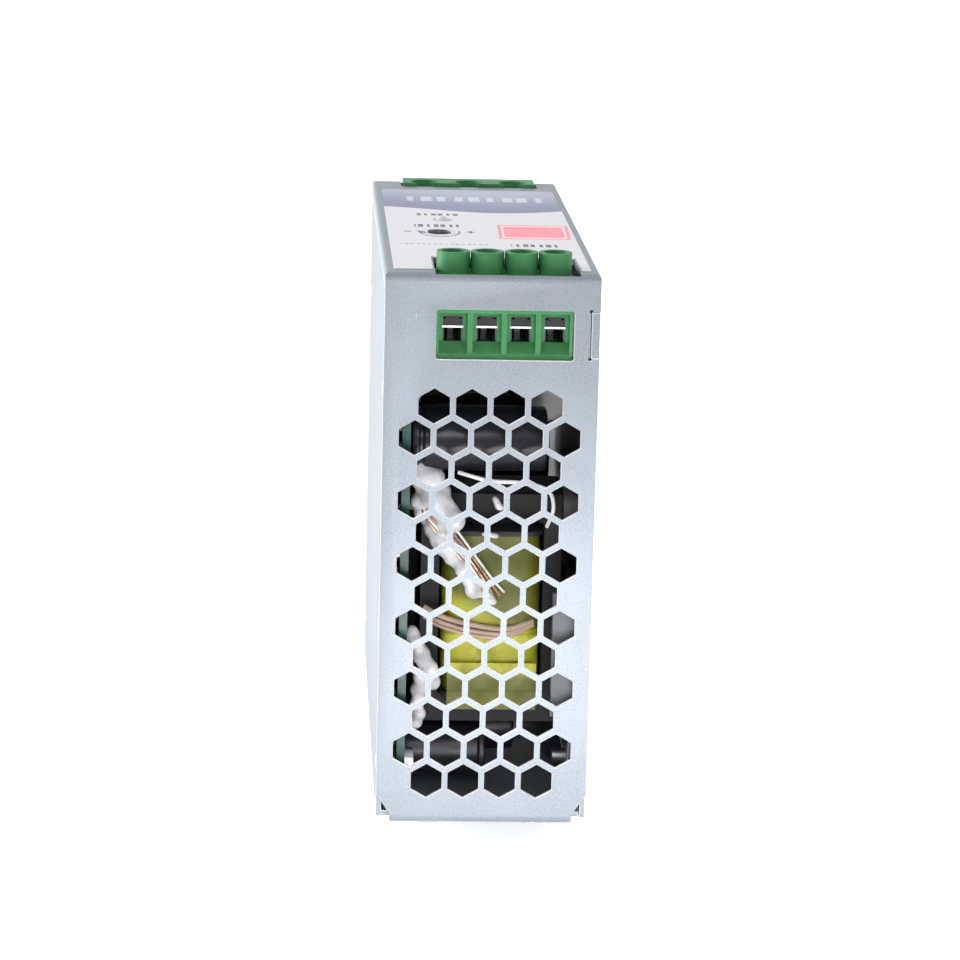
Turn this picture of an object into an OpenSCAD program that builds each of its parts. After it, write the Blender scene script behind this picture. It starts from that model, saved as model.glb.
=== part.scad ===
// Slim power supply for a 35 mm top-hat rail, lying on its rail side with the front panel up.
// X runs across the narrow width, Y from the output end (-Y) to the input end (+Y) and Z forwards.
// The origin is the middle of the underside, where the rail hooks stand on a flat surface.

/* [Case] */
// Width of the case along the rail
case_w = 40; // [39:0.5:44]
// Length of the case between its two end faces
case_l = 125.2; // [124:0.2:130]
// Depth of the case from the rear lips to the front panel
case_d = 106.3; // [106:0.1:110]
// Thickness of the folded sheet
sheet = 1; // [0.8:0.1:1.1]
// Outer radius of the folds between panel and end faces
fold_r = 1.6; // [1.2:0.1:2]
// Length of the lips folded under the rear wall
lip_l = 8; // [6:0.5:9]
// Height of the rail clip below the case
clip_h = 7.2; // [7.2:0.1:8]

/* [Vents] */
// Distance between neighbouring hexagonal holes
vent_pitch = 7; // [6.8:0.1:7.1]
// Width of one hexagonal hole across its flats
vent_flats = 5.95; // [5:0.05:6.1]
// Number of rows of holes
vent_rows = 13; // [3:1:13]
// Depth of the first row below the front panel
vent_first = 25.1; // [24:0.1:26]

/* [Terminals] */
// Distance between output poles
out_pitch = 6.35; // [6.3:0.05:6.4]
// Number of output poles
out_poles = 4; // [4:1:4]
// Left side of the output block
out_x = -10.45; // [-11:0.05:-10]
// Distance between input poles
in_pitch = 9.5; // [9.4:0.1:9.6]
// Number of input poles
in_poles = 3; // [3:1:3]
// Left side of the input block
in_x = -13.5; // [-14:0.1:-13]
// Height of the output screw towers above the front panel
tower_h = 3.2; // [3:0.1:5]
// Height of the input block above the front panel
in_rise = 0.8; // [0.5:0.1:2]

/* [Front panel] */
// Place of the adjustment hole across the panel
trim_x = -8.2; // [-8.6:0.1:-7.8]
// Place of the adjustment hole along the panel
trim_y = -12.6; // [-13:0.1:-12]
// Place of the status light across the panel
led_x = -7; // [-7.4:0.1:-6.6]
// Place of the status light along the panel
led_y = 3.8; // [3:0.1:6]

/* [Rail clip] */
// Width of the rail that the clip takes
rail_w = 35; // [35:1:35]
// Depth of the slot behind each rail hook
rail_slot = 1.4; // [1.2:0.1:1.6]
// Thickness of the rail hooks
hook_t = 2; // [1.8:0.1:2]

/* [Hidden] */
output_screws = [for (i = [1:out_poles]) str("output_screw_", i)];
output_clamps = [for (i = [1:out_poles]) str("output_clamp_", i)];
input_screws = [for (i = [1:in_poles]) str("input_screw_", i)];
input_clamps = [for (i = [1:in_poles]) str("input_clamp_", i)];

$fn = 40;
eps = 0.1;                                // overshoot of a cutting shape
gap = 0.2;                                // assembly gap between sheet parts
end_gap = 0.7;                            // gap between the chassis and the folds of the end faces
front_z = clip_h + case_d;                // outer face of the front panel
half_l = case_l / 2;
half_w = case_w / 2;
inner_w = half_w - sheet;
inner_l = half_l - sheet;
wall_z = clip_h + 2 * sheet;              // inner face of the rear wall
hem_h = 3;                                // depth of the hem along the long edges of the panel
cover_top = front_z - hem_h - gap;
row_h = vent_pitch * sqrt(3) / 2;
strip_half = 17.36;                       // half width of the rear lips
strip_h = 1.8;                            // height of the strip below the corner reliefs
relief_h = 6.1;                           // height where the corner reliefs start
notch_lo = front_z - 15.8;                // notch for the tab of the side cover
notch_hi = front_z - 6.9;
notch_in = half_w - 1.8;
window_lo = front_z - 16.3;
window_hi = front_z - 6.8;
out_w = out_pitch * out_poles;
in_w = in_pitch * in_poles;
cut_l = 18;                               // length of the cut-out over the output block
in_cut_l = 9.4;                           // length of the cut-out over the input block
cut_lip = 0.6;                            // strip of the end face left in front of a cut-out
label_t = 0.15;
board_x = -16.2;                          // solder side of the main board
board_t = 1.6;
part_x = board_x + board_t;               // component side of the main board
board_hole_y = 54;
board_hole_lo = 17;
board_hole_hi = 90.2;
block_face = inner_l - 0.3;               // wire side of a terminal block
block_floor = front_z - 18.9;             // underside of a terminal block
block_top = front_z - 0.9;                // shoulder of a terminal block
block_l = 16.8;
small_board_t = 1.6;
pole_y = half_l - 6.8;                    // axis of the terminal screws, from the middle
cage_t = 0.7;
cage_l = 5.6;
cage_lo = front_z - 14.7;                 // underside of an open clamp cage
cage_h = 7.2;
cage_top_t = 1.4;
tongue_lo = front_z - 10.5;
tongue_t = 1.2;
web_lo = front_z - 5.3;                   // web that the screw head turns on
web_t = 1.2;
head_h = 2.2;
screw_r = 1.45;
bore_clear = 0.05;
cavity_clear = 0.2;
seat_z = hook_t + rail_slot;              // seat of the rail's flanges
bracket_half = 16;
rail_edge = rail_w / 2 + 0.3;
latch_half = 12.2;
latch_lo = 0.4;
latch_hi = seat_z - 0.2;
spring_y0 = 22;
spring_y1 = 31.5;
spring_r = 1.1;
spring_wire = 0.25;
spring_turns = 6;
spring_z = 1.9;
cap_clear = 0.2;                          // gap between the board and a standing part
tr_x = 1.6;                               // axis of the transformer's middle leg
tr_y = -42;
tr_lo = 30;                               // inner faces of the core's yokes
tr_hi = 63;
tr_half = 9.5;                            // half width of the winding
tr_leg = 4;                               // half width of the middle leg
tr_core = 13.6;                           // half width of the core
tr_core_l = 16;                           // length of the core
tr_yoke = 6.2;                            // thickness of the yokes
tr_wound_l = 26;                          // length over the winding
flange_t = 1;
pfc_y = -6;                               // axis of the large ring choke
pfc_z = 66;
pfc_x0 = -12.6;
pfc_x1 = -3.6;
pfc_r0 = 7;
pfc_r1 = 12;
pfc_wall = 1.6;                           // thickness of its winding
filter_y = 33;                            // axis of the small ring choke
filter_z = 87.5;
filter_x0 = -12.8;
filter_x1 = -5.8;
filter_r0 = 5;
filter_r1 = 9;
filter_wall = 1.4;
drum_y = -44.4;                           // axis of the output choke
drum_z = 17;
drum_r = 5.2;
bulk_y = 22;                              // axes of the two large cans
bulk_z = [36, 64];
bulk_r = 12.5;
bulk_h = 31;
crimp_lo = 1.2;                           // crimped groove of a can, above its foot
crimp_hi = 2;
crimp_in = 0.5;
disc_y = 50;
disc_x = -8.6;
disc_z = [56, 62];
disc_r = 4.6;
fuse_x = -9.4;
fuse_y = 54;
guard_x = -8.2;                           // axis of the varistor and thermistor
guard_y = 52;
guard_r = 6;
sink_t = 1.5;                             // thickness of the secondary heat sink
sink_x0 = 12.9;
sink_x1 = 17.9;
sink_z0 = 27.6;
sink_z1 = 52;
sink_face = -59.4;                        // face towards the output vents
sink_end = -18;

// box between two corners
module box(lo, hi) {
    translate(lo) cube(hi - lo);
}

// cylinder along X from x0 to x1 through (y, z)
module rod_x(x0, x1, y, z, r, sides = 40) {
    translate([x0, y, z]) rotate([0, 90, 0]) cylinder(h = x1 - x0, r = r, $fn = sides);
}

// cylinder along Y from y0 to y1 through (x, z)
module rod_y(y0, y1, x, z, r, sides = 40) {
    translate([x, y1, z]) rotate([90, 0, 0]) cylinder(h = y1 - y0, r = r, $fn = sides);
}

// upright cylinder
module rod_z(z0, z1, x, y, r, sides = 40) {
    translate([x, y, z0]) cylinder(h = z1 - z0, r = r, $fn = sides);
}

// rectangle with four round corners, its lower edge on the axis
module round_rect(w, h, r) {
    translate([-w / 2, r]) square([w, h - 2 * r]);
    translate([-w / 2 + r, 0]) square([w - 2 * r, h]);
    for (x = [-1, 1], y = [r, h - r])
        translate([x * (w / 2 - r), y]) circle(r);
}

// child shape drawn in (y, z) and drawn out along X
module along_x(x0, x1) {
    translate([x0, 0, 0]) rotate([90, 0, 90]) linear_extrude(x1 - x0) children();
}

// child shape drawn in (x, z) and drawn out along Y
module along_y(y0, y1) {
    translate([0, y1, 0]) rotate([90, 0, 0]) linear_extrude(y1 - y0) children();
}

// ---- case ----

module wrap_profile() {
    difference() {
        translate([0, clip_h]) round_rect(case_l, case_d, fold_r);
        translate([0, clip_h + sheet]) round_rect(case_l - 2 * sheet, case_d - 2 * sheet, fold_r - sheet);
        translate([-half_l + lip_l, clip_h - eps]) square([case_l - 2 * lip_l, sheet + 2 * eps]);
    }
}

// hexagonal holes through both end faces
module vents() {
    for (row = [0:vent_rows - 1]) {
        count = row % 2 == 0 ? 4 : 5;
        for (i = [0:count - 1], end = [-1, 1])
            translate([(i - (count - 1) / 2) * vent_pitch, end * half_l, front_z - vent_first - row * row_h])
                rotate([90, 30, 0])
                    cylinder(h = 4 * sheet, r = vent_flats / sqrt(3), center = true, $fn = 6);
    }
}

// corner reliefs beside the rear lips, right through both end faces
module corner_reliefs() {
    low = clip_h + strip_h;
    high = clip_h + relief_h;
    for (side = [-1, 1])
        along_y(-half_l - eps, half_l + eps)
            polygon([[side * strip_half, 0], [side * strip_half, low], [side * (half_w + eps), high],
                [side * (half_w + eps), 0]]);
}

// removes the sharp corner along each long edge of the panel
module long_edge_rounding() {
    edge_r = 0.8;
    for (side = [-1, 1])
        along_y(-half_l - eps, half_l + eps)
            difference() {
                translate([side * half_w - (side > 0 ? edge_r : eps), front_z - edge_r])
                    square([edge_r + eps, edge_r + eps]);
                translate([side * (half_w - edge_r), front_z - edge_r]) circle(edge_r);
            }
}

module notch(end) {
    lo = min(end * (inner_l - eps), end * (half_l + eps));
    hi = max(end * (inner_l - eps), end * (half_l + eps));
    box([notch_in, lo, notch_lo], [half_w + eps, hi, notch_hi]);
    for (z = [notch_lo, notch_hi])
        rod_y(lo, hi, notch_in + 0.1, z, 0.45);
}

module front_wrap() {
    color("lightsteelblue")
    difference() {
        union() {
            along_x(-half_w, half_w) wrap_profile();
            for (side = [-1, 1])
                box([side > 0 ? inner_w : -half_w, -inner_l + 1, front_z - hem_h],
                    [side > 0 ? half_w : -inner_w, inner_l - 1, front_z - sheet + eps]);
            for (side = [-1, 1], y = [-40, 40])
                box([side > 0 ? inner_w - sheet : -inner_w, y - 5, front_z - 15],
                    [side > 0 ? inner_w : -inner_w + sheet, y + 5, front_z - sheet + eps]);
        }
        vents();
        corner_reliefs();
        long_edge_rounding();
        notch(-1);
        notch(1);
        // wire windows
        along_y(-half_l - eps, -inner_l + eps)
            translate([out_x + out_w / 2 + 0.15, window_lo])
                round_rect(out_w + 0.3, window_hi - window_lo, 0.5);
        along_y(inner_l - eps, half_l + eps)
            translate([in_x + in_w / 2, window_lo]) round_rect(in_w - 0.2, window_hi - window_lo, 0.5);
        // cut-outs over the terminal blocks
        box([out_x - 0.3, -half_l + cut_lip, front_z - sheet - eps],
            [out_x + out_w + 1.3, -half_l + cut_l, front_z + eps]);
        box([in_x - 0.5, half_l - in_cut_l, front_z - sheet - eps],
            [in_x + in_w + 0.5, half_l - cut_lip, front_z + eps]);
        // adjustment hole and status light hole
        translate([0, 0, front_z - 2 * sheet]) linear_extrude(3 * sheet) trimmer_slot(2.6);
        rod_z(front_z - 2 * sheet, front_z + eps, led_x, led_y, 1.7);
        // holes for the cover screws and lip rivets
        cover_screw_places(true) rod_x(inner_w - 2 * sheet, half_w, 0, 0, 1.5);
        rivet_places() rod_z(clip_h - eps, clip_h + sheet + eps, 0, 0, 1.3);
    }
}

// round-ended opening, long along the panel
module trimmer_slot(r) {
    for (end = [-1, 1]) translate([trim_x, trim_y + end * 1.2]) circle(r);
    translate([trim_x - r, trim_y - 1.2]) square([2 * r, 2.4]);
}

module cover_screw_places(front_only = false) {
    rear = front_only ? [] : [wall_z + 5];
    for (y = [-40, 40], z = concat(rear, [front_z - 9]))
        translate([0, y, z]) children();
}

module rivet_places() {
    for (x = [-10, 10], y = [-1, 1])
        translate([x, y * (half_l - 5), 0]) children();
}

module chassis() {
    color("gainsboro")
    difference() {
        union() {
            box([-half_w, -inner_l + end_gap, clip_h + sheet], [-inner_w, inner_l - end_gap, cover_top]);
            box([-half_w + eps, -inner_l + end_gap, clip_h + sheet],
                [inner_w - gap, inner_l - end_gap, wall_z]);
            for (y = [-40, 40])
                box([inner_w - sheet - gap, y - 5, wall_z - eps], [inner_w - gap, y + 5, wall_z + 10]);
        }
        rivet_places() rod_z(clip_h, wall_z + eps, 0, 0, 1.3);
        cover_screw_places() rod_x(inner_w - 2 * sheet, inner_w, 0, 0, 1.5);
        bracket_screw_places() rod_z(clip_h, wall_z + eps, 0, 0, 1.6);
        board_screw_places() rod_x(-half_w - eps, -inner_w + eps, 0, 0, 1.25);
    }
}

module side_cover() {
    color("lightsteelblue")
    difference() {
        union() {
            box([inner_w, -inner_l + gap, clip_h + sheet], [half_w, inner_l - gap, cover_top]);
            box([inner_w, -half_l, notch_lo + 0.15], [half_w, half_l, notch_hi - 0.15]);
            // thick ends of the tab, which fill the notches
            for (end = [-1, 1])
                translate([notch_in + 0.25, end * (half_l - 0.5) - 0.5, notch_lo + 0.15])
                    cube([half_w - notch_in - 0.25, sheet, notch_hi - notch_lo - 0.3]);
        }
        cover_screw_places() {
            rod_x(inner_w - eps, half_w + eps, 0, 0, 1.6);
            translate([half_w - 0.9, 0, 0]) rotate([0, 90, 0]) cylinder(h = 1, r1 = 1.6, r2 = 2.85);
        }
    }
}

// countersunk screws, flush with the cover
module cover_screws() {
    color("silver")
    cover_screw_places()
        difference() {
            union() {
                rod_x(inner_w - 4, half_w - 0.85, 0, 0, 1.45);
                translate([half_w - 0.95, 0, 0]) rotate([0, 90, 0]) cylinder(h = 0.9, r1 = 1.45, r2 = 2.55);
            }
            for (a = [0, 90])
                rotate([a, 0, 0]) box([half_w - 0.55, -1.5, -0.25], [half_w + eps, 1.5, 0.25]);
        }
}

module lip_rivets() {
    color("silver")
    rivet_places() {
        difference() {
            rod_z(clip_h - 0.8, clip_h, 0, 0, 2.4);
            rod_z(clip_h - 1, clip_h - 0.4, 0, 0, 0.7);
        }
        rod_z(clip_h, wall_z + 0.6, 0, 0, 1.25);
    }
}

module front_label() {
    color("ghostwhite")
    translate([0, 0, front_z]) linear_extrude(label_t)
        difference() {
            translate([0, -58.6]) round_rect(36.8, 106.2, 0.8);
            translate([out_x - 0.6, -60]) square([out_w + 2.2, 60 - half_l + cut_l + 0.6]);
            trimmer_slot(2.3);
            translate([led_x, led_y]) circle(1.7);
        }
}

// ---- boards ----

module board_screw_places() {
    for (y = [-board_hole_y, board_hole_y], z = [board_hole_lo, board_hole_hi])
        translate([0, y, z]) children();
}

module insulation_sheet() {
    color("ivory")
    difference() {
        box([-inner_w + 0.1, -58.5, wall_z + 1.5], [-inner_w + 0.5, 58.5, front_z - 16]);
        board_screw_places() rod_x(-half_w, board_x, 0, 0, 3.6);
    }
}

module board_standoffs() {
    color("goldenrod")
    board_screw_places()
        difference() {
            union() {
                rod_x(-inner_w, board_x, 0, 0, 3.1, 6);
                rod_x(-half_w + 0.2, -inner_w, 0, 0, 1.2);
            }
            rod_x(-inner_w + 0.6, board_x + eps, 0, 0, 1.2);
        }
}

module board_screws() {
    color("silver")
    board_screw_places()
        difference() {
            union() {
                rod_x(board_x - 2, part_x, 0, 0, 1.15);
                rod_x(part_x, part_x + 1.8, 0, 0, 2.6);
            }
            for (a = [0, 90])
                rotate([a, 0, 0]) box([part_x + 0.9, -1.5, -0.3], [part_x + 2, 1.5, 0.3]);
        }
}

module main_board() {
    color("darkgreen")
    difference() {
        box([board_x, -59, 12.5], [part_x, 59, 109.5]);
        board_screw_places() rod_x(board_x - eps, part_x + eps, 0, 0, 1.6);
    }
}

// small board that carries a terminal block
module block_board(end, x0, x1) {
    top = block_floor;
    y0 = end > 0 ? block_face - block_l - 1 : -block_face + 0.2;
    y1 = end > 0 ? block_face - 0.2 : -block_face + block_l + 1;
    box([x0, y0, top - small_board_t], [x1, y1, top]);
}

module output_board() {
    color("darkgreen")
    difference() {
        block_board(-1, part_x, 17.2);
        contact_holes(-1, out_x, out_pitch, out_poles);
    }
}

module input_board() {
    color("darkgreen")
    difference() {
        block_board(1, part_x, 17.2);
        contact_holes(1, in_x, in_pitch, in_poles);
    }
}

// ---- terminal blocks; end is -1 at the output side and 1 at the input side ----

function pole_x(x0, pitch, i) = x0 + (i + 0.5) * pitch;

// mirrors a shape drawn for the output side to the input side
module at_end(end) {
    mirror([0, end > 0 ? 1 : 0, 0]) children();
}

module contact_holes(end, x0, pitch, poles) {
    for (i = [0:poles - 1])
        at_end(end) translate([pole_x(x0, pitch, i), -pole_y + 8, 0])
            box([-0.8, -0.8, block_floor - 2 * small_board_t], [0.8, 0.8, block_floor + eps]);
}

// space for the clamp cage, contact, screw and wire of one pole
module pole_cavity(entry_w, cage_w, well_r) {
    back = cage_l / 2 + cavity_clear;
    box([-cage_w / 2 - cavity_clear, -back, block_floor - eps], [cage_w / 2 + cavity_clear, back, web_lo]);
    box([-1.5, 0, block_floor - eps], [1.5, 9.1, tongue_lo + tongue_t + 0.1]);
    rod_z(web_lo - eps, web_lo + web_t + eps, 0, 0, screw_r + 0.15);
    rod_z(web_lo + web_t, front_z + tower_h + eps, 0, 0, well_r);
    // wire funnel with a sloping floor, then the hole into the cage
    mouth = pole_y - block_face - eps;
    along_x(-entry_w / 2, entry_w / 2)
        polygon([[mouth, front_z - 15.4], [-back - 0.4, front_z - 13.3], [-back - 0.4, front_z - 8.4],
            [mouth, front_z - 7.6]]);
    box([-cage_w / 2 + 0.45, mouth, front_z - 13.3], [cage_w / 2 - 0.45, 0, front_z - 8.5]);
}

module terminal_housing(end, x0, pitch, poles, entry_w, cage_w, well_r) {
    at_end(end)
        difference() {
            union() {
                box([x0, -block_face, block_floor],
                    [x0 + pitch * poles, -block_face + block_l, block_top - 3]);
                children();
            }
            for (i = [0:poles - 1])
                translate([pole_x(x0, pitch, i), -pole_y, 0]) pole_cavity(entry_w, cage_w, well_r);
        }
}

module output_housing() {
    color("seagreen")
    terminal_housing(-1, out_x, out_pitch, out_poles, 5.3, 4.6, 2.2) {
        box([out_x, -block_face, block_floor], [out_x + out_w, -pole_y + 4.2, block_top]);
        for (i = [0:out_poles - 1])
            rod_z(block_floor + 2, front_z + tower_h, pole_x(out_x, out_pitch, i), -pole_y, 3.12);
    }
}

module input_housing() {
    color("seagreen")
    terminal_housing(1, in_x, in_pitch, in_poles, 8.2, 6.2, 2.9) {
        box([in_x, -block_face, block_floor], [in_x + in_w, -half_l + in_cut_l - 0.3, front_z + in_rise]);
    }
}

module clamp_cage(cage_w) {
    difference() {
        box([-cage_w / 2, -cage_l / 2, cage_lo], [cage_w / 2, cage_l / 2, cage_lo + cage_h]);
        box([-cage_w / 2 + cage_t, -cage_l, cage_lo + 0.8],
            [cage_w / 2 - cage_t, cage_l, cage_lo + cage_h - cage_top_t]);
        rod_z(cage_lo + cage_h - 2 * cage_top_t, cage_lo + cage_h + eps, 0, 0, screw_r + bore_clear);
    }
}

module terminal_screw(head_r) {
    head_lo = web_lo + web_t;
    difference() {
        union() {
            rod_z(tongue_lo + tongue_t + 0.15, head_lo, 0, 0, screw_r);
            rod_z(head_lo, head_lo + head_h, 0, 0, head_r);
        }
        box([-0.35, -head_r - eps, head_lo + head_h - 1.1], [0.35, head_r + eps, head_lo + head_h + eps]);
        box([-1.3, -0.3, head_lo + head_h - 1.1], [1.3, 0.3, head_lo + head_h + eps]);
    }
}

module output_clamp(i) {
    color("silver") translate([pole_x(out_x, out_pitch, i), -pole_y, 0]) clamp_cage(4.6);
}

module output_screw(i) {
    color("silver") translate([pole_x(out_x, out_pitch, i), -pole_y, 0]) terminal_screw(2.05);
}

module input_clamp(i) {
    color("silver") translate([pole_x(in_x, in_pitch, i), pole_y, 0]) clamp_cage(6.2);
}

module input_screw(i) {
    color("silver") translate([pole_x(in_x, in_pitch, i), pole_y, 0]) terminal_screw(2.7);
}

// tongue above the wire and the leg that runs down through the small board
module contacts(end, x0, pitch, poles) {
    for (i = [0:poles - 1])
        at_end(end) translate([pole_x(x0, pitch, i), -pole_y, 0]) {
            box([-1.3, -cage_l / 2 - 0.1, tongue_lo], [1.3, 8.6, tongue_lo + tongue_t]);
            box([-0.6, 7.4, block_floor - 3.4], [0.6, 8.6, tongue_lo + eps]);
        }
}

module output_contacts() {
    color("silver") contacts(-1, out_x, out_pitch, out_poles);
}

module input_contacts() {
    color("silver") contacts(1, in_x, in_pitch, in_poles);
}

// ---- front controls ----

module trimmer_body() {
    color("royalblue")
    difference() {
        box([part_x, trim_y - 5, front_z - 12], [trim_x + 5, trim_y + 5, front_z - 5]);
        rod_z(front_z - 7.5, front_z - 4, trim_x, trim_y, 2.1);
    }
}

module trimmer_rotor() {
    color("white")
    difference() {
        rod_z(front_z - 7.4, front_z - 2.2, trim_x, trim_y, 2.0);
        translate([trim_x, trim_y, 0]) box([-0.35, -1.7, front_z - 3.3], [0.35, 1.7, front_z - 2]);
    }
}

module status_light() {
    color("gray") {
        rod_z(front_z - 4.5, front_z - 0.6, led_x, led_y, 1.5);
        translate([led_x, led_y, front_z - 0.6]) sphere(r = 1.5);
        rod_z(front_z - 5.5, front_z - 4.5, led_x, led_y, 1.9);
        box([part_x, led_y - 0.9, front_z - 9], [led_x + 0.3, led_y - 0.4, front_z - 8.5]);
        box([part_x, led_y + 0.4, front_z - 9], [led_x + 0.3, led_y + 0.9, front_z - 8.5]);
        for (y = [-0.9, 0.4])
            box([led_x - 0.2, led_y + y, front_z - 9], [led_x + 0.3, led_y + y + 0.5, front_z - 5.4]);
    }
}

// ---- transformer, its winding round an upright leg ----

module transformer_core() {
    color("dimgray")
    difference() {
        box([tr_x - tr_core, tr_y - tr_core_l / 2, tr_lo - tr_yoke],
            [tr_x + tr_core, tr_y + tr_core_l / 2, tr_hi + tr_yoke]);
        for (side = [-1, 1])
            translate([tr_x + side * (tr_leg + tr_half + 0.3) / 2, tr_y, tr_lo - 0.2])
                linear_extrude(tr_hi - tr_lo + 0.4)
                    square([tr_half + 0.3 - tr_leg, tr_core_l + 2], center = true);
    }
}

// tape-wrapped winding with rounded upright corners
module transformer_winding() {
    color("goldenrod")
    translate([tr_x, tr_y, tr_lo + 1.2]) linear_extrude(tr_hi - tr_lo - 2.4)
        difference() {
            translate([0, -tr_wound_l / 2]) round_rect(2 * tr_half, tr_wound_l, 4);
            square([2 * tr_leg + 1.4, tr_core_l + 1.4], center = true);
        }
}

module transformer_bobbin() {
    color("saddlebrown")
    for (z = [tr_lo, tr_hi - flange_t])
        translate([tr_x, tr_y, z]) linear_extrude(flange_t)
            difference() {
                translate([0, -tr_wound_l / 2 - 0.6]) round_rect(2 * tr_half, tr_wound_l + 1.2, 3);
                square([2 * tr_leg + 0.3, tr_core_l + 0.3], center = true);
            }
}

// ---- chokes ----

module ring_x(x0, x1, y, z, r0, r1) {
    difference() {
        rod_x(x0, x1, y, z, r1);
        rod_x(x0 - 1, x1 + 1, y, z, r0);
    }
}

// winding wrapped round a ring core, a shell that leaves a wedge of the core bare
module ring_winding(x0, x1, y, z, r0, r1, wall) {
    difference() {
        ring_x(x0 - wall, x1 + wall, y, z, r0 - wall, r1 + wall);
        ring_x(x0 - 0.05, x1 + 0.05, y, z, r0 - 0.05, r1 + 0.05);
        translate([0, y, z]) box([x0 - 2 * wall, 0, -3], [x1 + 2 * wall, r1 + 2 * wall, 3]);
    }
}

module choke_core() {
    color("darkslategray") ring_x(pfc_x0, pfc_x1, pfc_y, pfc_z, pfc_r0, pfc_r1);
}

module choke_winding() {
    color("peru") ring_winding(pfc_x0, pfc_x1, pfc_y, pfc_z, pfc_r0, pfc_r1, pfc_wall);
}

module filter_core() {
    color("darkolivegreen") ring_x(filter_x0, filter_x1, filter_y, filter_z, filter_r0, filter_r1);
}

module filter_winding() {
    color("peru")
    ring_winding(filter_x0, filter_x1, filter_y, filter_z, filter_r0, filter_r1, filter_wall);
}

module output_choke() {
    color("peru") {
        rod_x(part_x + cap_clear, 0, drum_y, drum_z, drum_r);
        rod_x(0, 1.2, drum_y, drum_z, drum_r + 1);
    }
}

// ---- capacitors ----

// standing can with a crimped groove near its foot
module can_x(y, z, r, h) {
    x0 = part_x + cap_clear;
    rod_x(x0, x0 + crimp_lo, y, z, r);
    rod_x(x0 + crimp_lo, x0 + crimp_hi, y, z, r - crimp_in);
    rod_x(x0 + crimp_hi, x0 + h, y, z, r);
}

module bulk_capacitors() {
    color("darkslategray")
    for (z = bulk_z)
        can_x(bulk_y, z, bulk_r, bulk_h);
}

module output_capacitors() {
    color("black") {
        can_x(-52.4, 80.4, 6.2, 25.6);
        can_x(-38.5, 81.4, 5, 19.5);
        rod_y(-45.8, -26, 12.2, 86.6, 5);
        can_x(-26.5, 80.4, 5, 19.5);
        can_x(-31.5, 18, 5, 22);
    }
}

module film_capacitor() {
    color("gold") box([part_x + cap_clear, 41, 22], [3.4, 58, 35]);
}

module disc_capacitors() {
    color("steelblue")
    for (z = disc_z)
        rod_z(z - 1.6, z + 1.6, disc_x, disc_y, disc_r);
}

// ---- input parts ----

module fuse() {
    color("silver") {
        rod_z(35.8, 41, fuse_x, fuse_y, 2.6);
        rod_z(41, 48.6, fuse_x, fuse_y, 2.4);
        rod_z(48.6, 53.8, fuse_x, fuse_y, 2.6);
    }
}

module varistor() {
    color("royalblue") rod_z(66.2, 70.4, guard_x, guard_y, guard_r);
}

module thermistor() {
    color("darkslategray") rod_z(72.6, 77.6, guard_x, guard_y, guard_r);
}

module bridge_rectifier() {
    color("black")
    difference() {
        box([-10.6, 14, 12.8], [8, 32, 16.6]);
        rod_z(12, 18, 3, 23, 1.7);
    }
}

module primary_heatsink() {
    color("silver") {
        box([part_x + cap_clear, -8, 14], [15.5, -6, 50]);
        box([13.5, -6.05, 14], [15.5, 4, 50]);
    }
}

module primary_transistors() {
    color("black")
    for (z = [22, 38])
        difference() {
            box([-6, -12.6, z - 5], [9.5, -8.05, z + 5]);
            rod_y(-13, -8, 6.5, z, 1.6);
        }
}

// plate that faces the output vents and runs back along the cover
module secondary_heatsink() {
    color("dimgray") {
        box([sink_x0, sink_face, sink_z0], [sink_x1, sink_face + sink_t, sink_z1]);
        box([sink_x1 - sink_t, sink_face + sink_t - eps, sink_z0], [sink_x1, sink_end, sink_z1]);
    }
}

module output_rectifiers() {
    color("black")
    for (z = [34, 46])
        box([11.8, -28.4, z - 5], [16.3, -18.4, z + 5]);
}

module alarm_relay() {
    color("whitesmoke") box([part_x + cap_clear, 0, 88], [0.6, 20, 98.4]);
}

module control_chips() {
    color("black") {
        for (z = [96, 102])
            box([part_x + cap_clear, -35, z - 2], [part_x + 2.4, -27, z + 2]);
        for (y = [-4, 4])
            box([part_x + cap_clear, y - 3.2, 82], [part_x + 3.6, y + 3.2, 86.4]);
    }
}

// ---- rail clip ----

module bracket_screw_places() {
    for (x = [-9, 9], y = [-9, 9])
        translate([x, y, 0]) children();
}

module rail_bracket() {
    guide_y = rail_edge + 0.1;
    guide_end = 36;
    color("silver")
    difference() {
        union() {
            box([-bracket_half, -rail_edge - 3.7, seat_z], [bracket_half, guide_end, clip_h + sheet]);
            box([-bracket_half, -rail_edge - 3.7, 0], [bracket_half, -rail_edge, seat_z + eps]);
            box([-bracket_half, -rail_edge - eps, 0], [bracket_half, -rail_edge + 3, hook_t]);
            for (side = [-1, 1])
                box([side > 0 ? latch_half + 0.3 : -bracket_half, guide_y, 0],
                    [side > 0 ? bracket_half : -latch_half - 0.3, guide_end, seat_z + eps]);
            box([-1.8, spring_y1, 0.6], [1.8, spring_y1 + 1.9, seat_z + eps]);
        }
        // grooves that hold the latch
        for (side = [-1, 1])
            box([side > 0 ? latch_half : -latch_half - 1.4, guide_y - eps, 1.2],
                [side > 0 ? latch_half + 1.4 : -latch_half, guide_end + eps, 2.4]);
        bracket_screw_places() {
            rod_z(seat_z - eps, clip_h + 2 * sheet, 0, 0, 1.6);
            rod_z(seat_z - eps, seat_z + 2.2, 0, 0, 3.1);
        }
        // lightening pocket
        box([-5, -13, seat_z - eps], [5, 13, seat_z + 2]);
    }
}

module bracket_screws() {
    color("silver")
    bracket_screw_places()
        difference() {
            union() {
                rod_z(seat_z + 0.3, seat_z + 2.2, 0, 0, 2.9);
                rod_z(seat_z + 2.2, wall_z + 1, 0, 0, 1.5);
            }
            for (a = [0, 90])
                rotate([0, 0, a]) box([-1.6, -0.3, seat_z], [1.6, 0.3, seat_z + 1.2]);
        }
}

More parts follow.
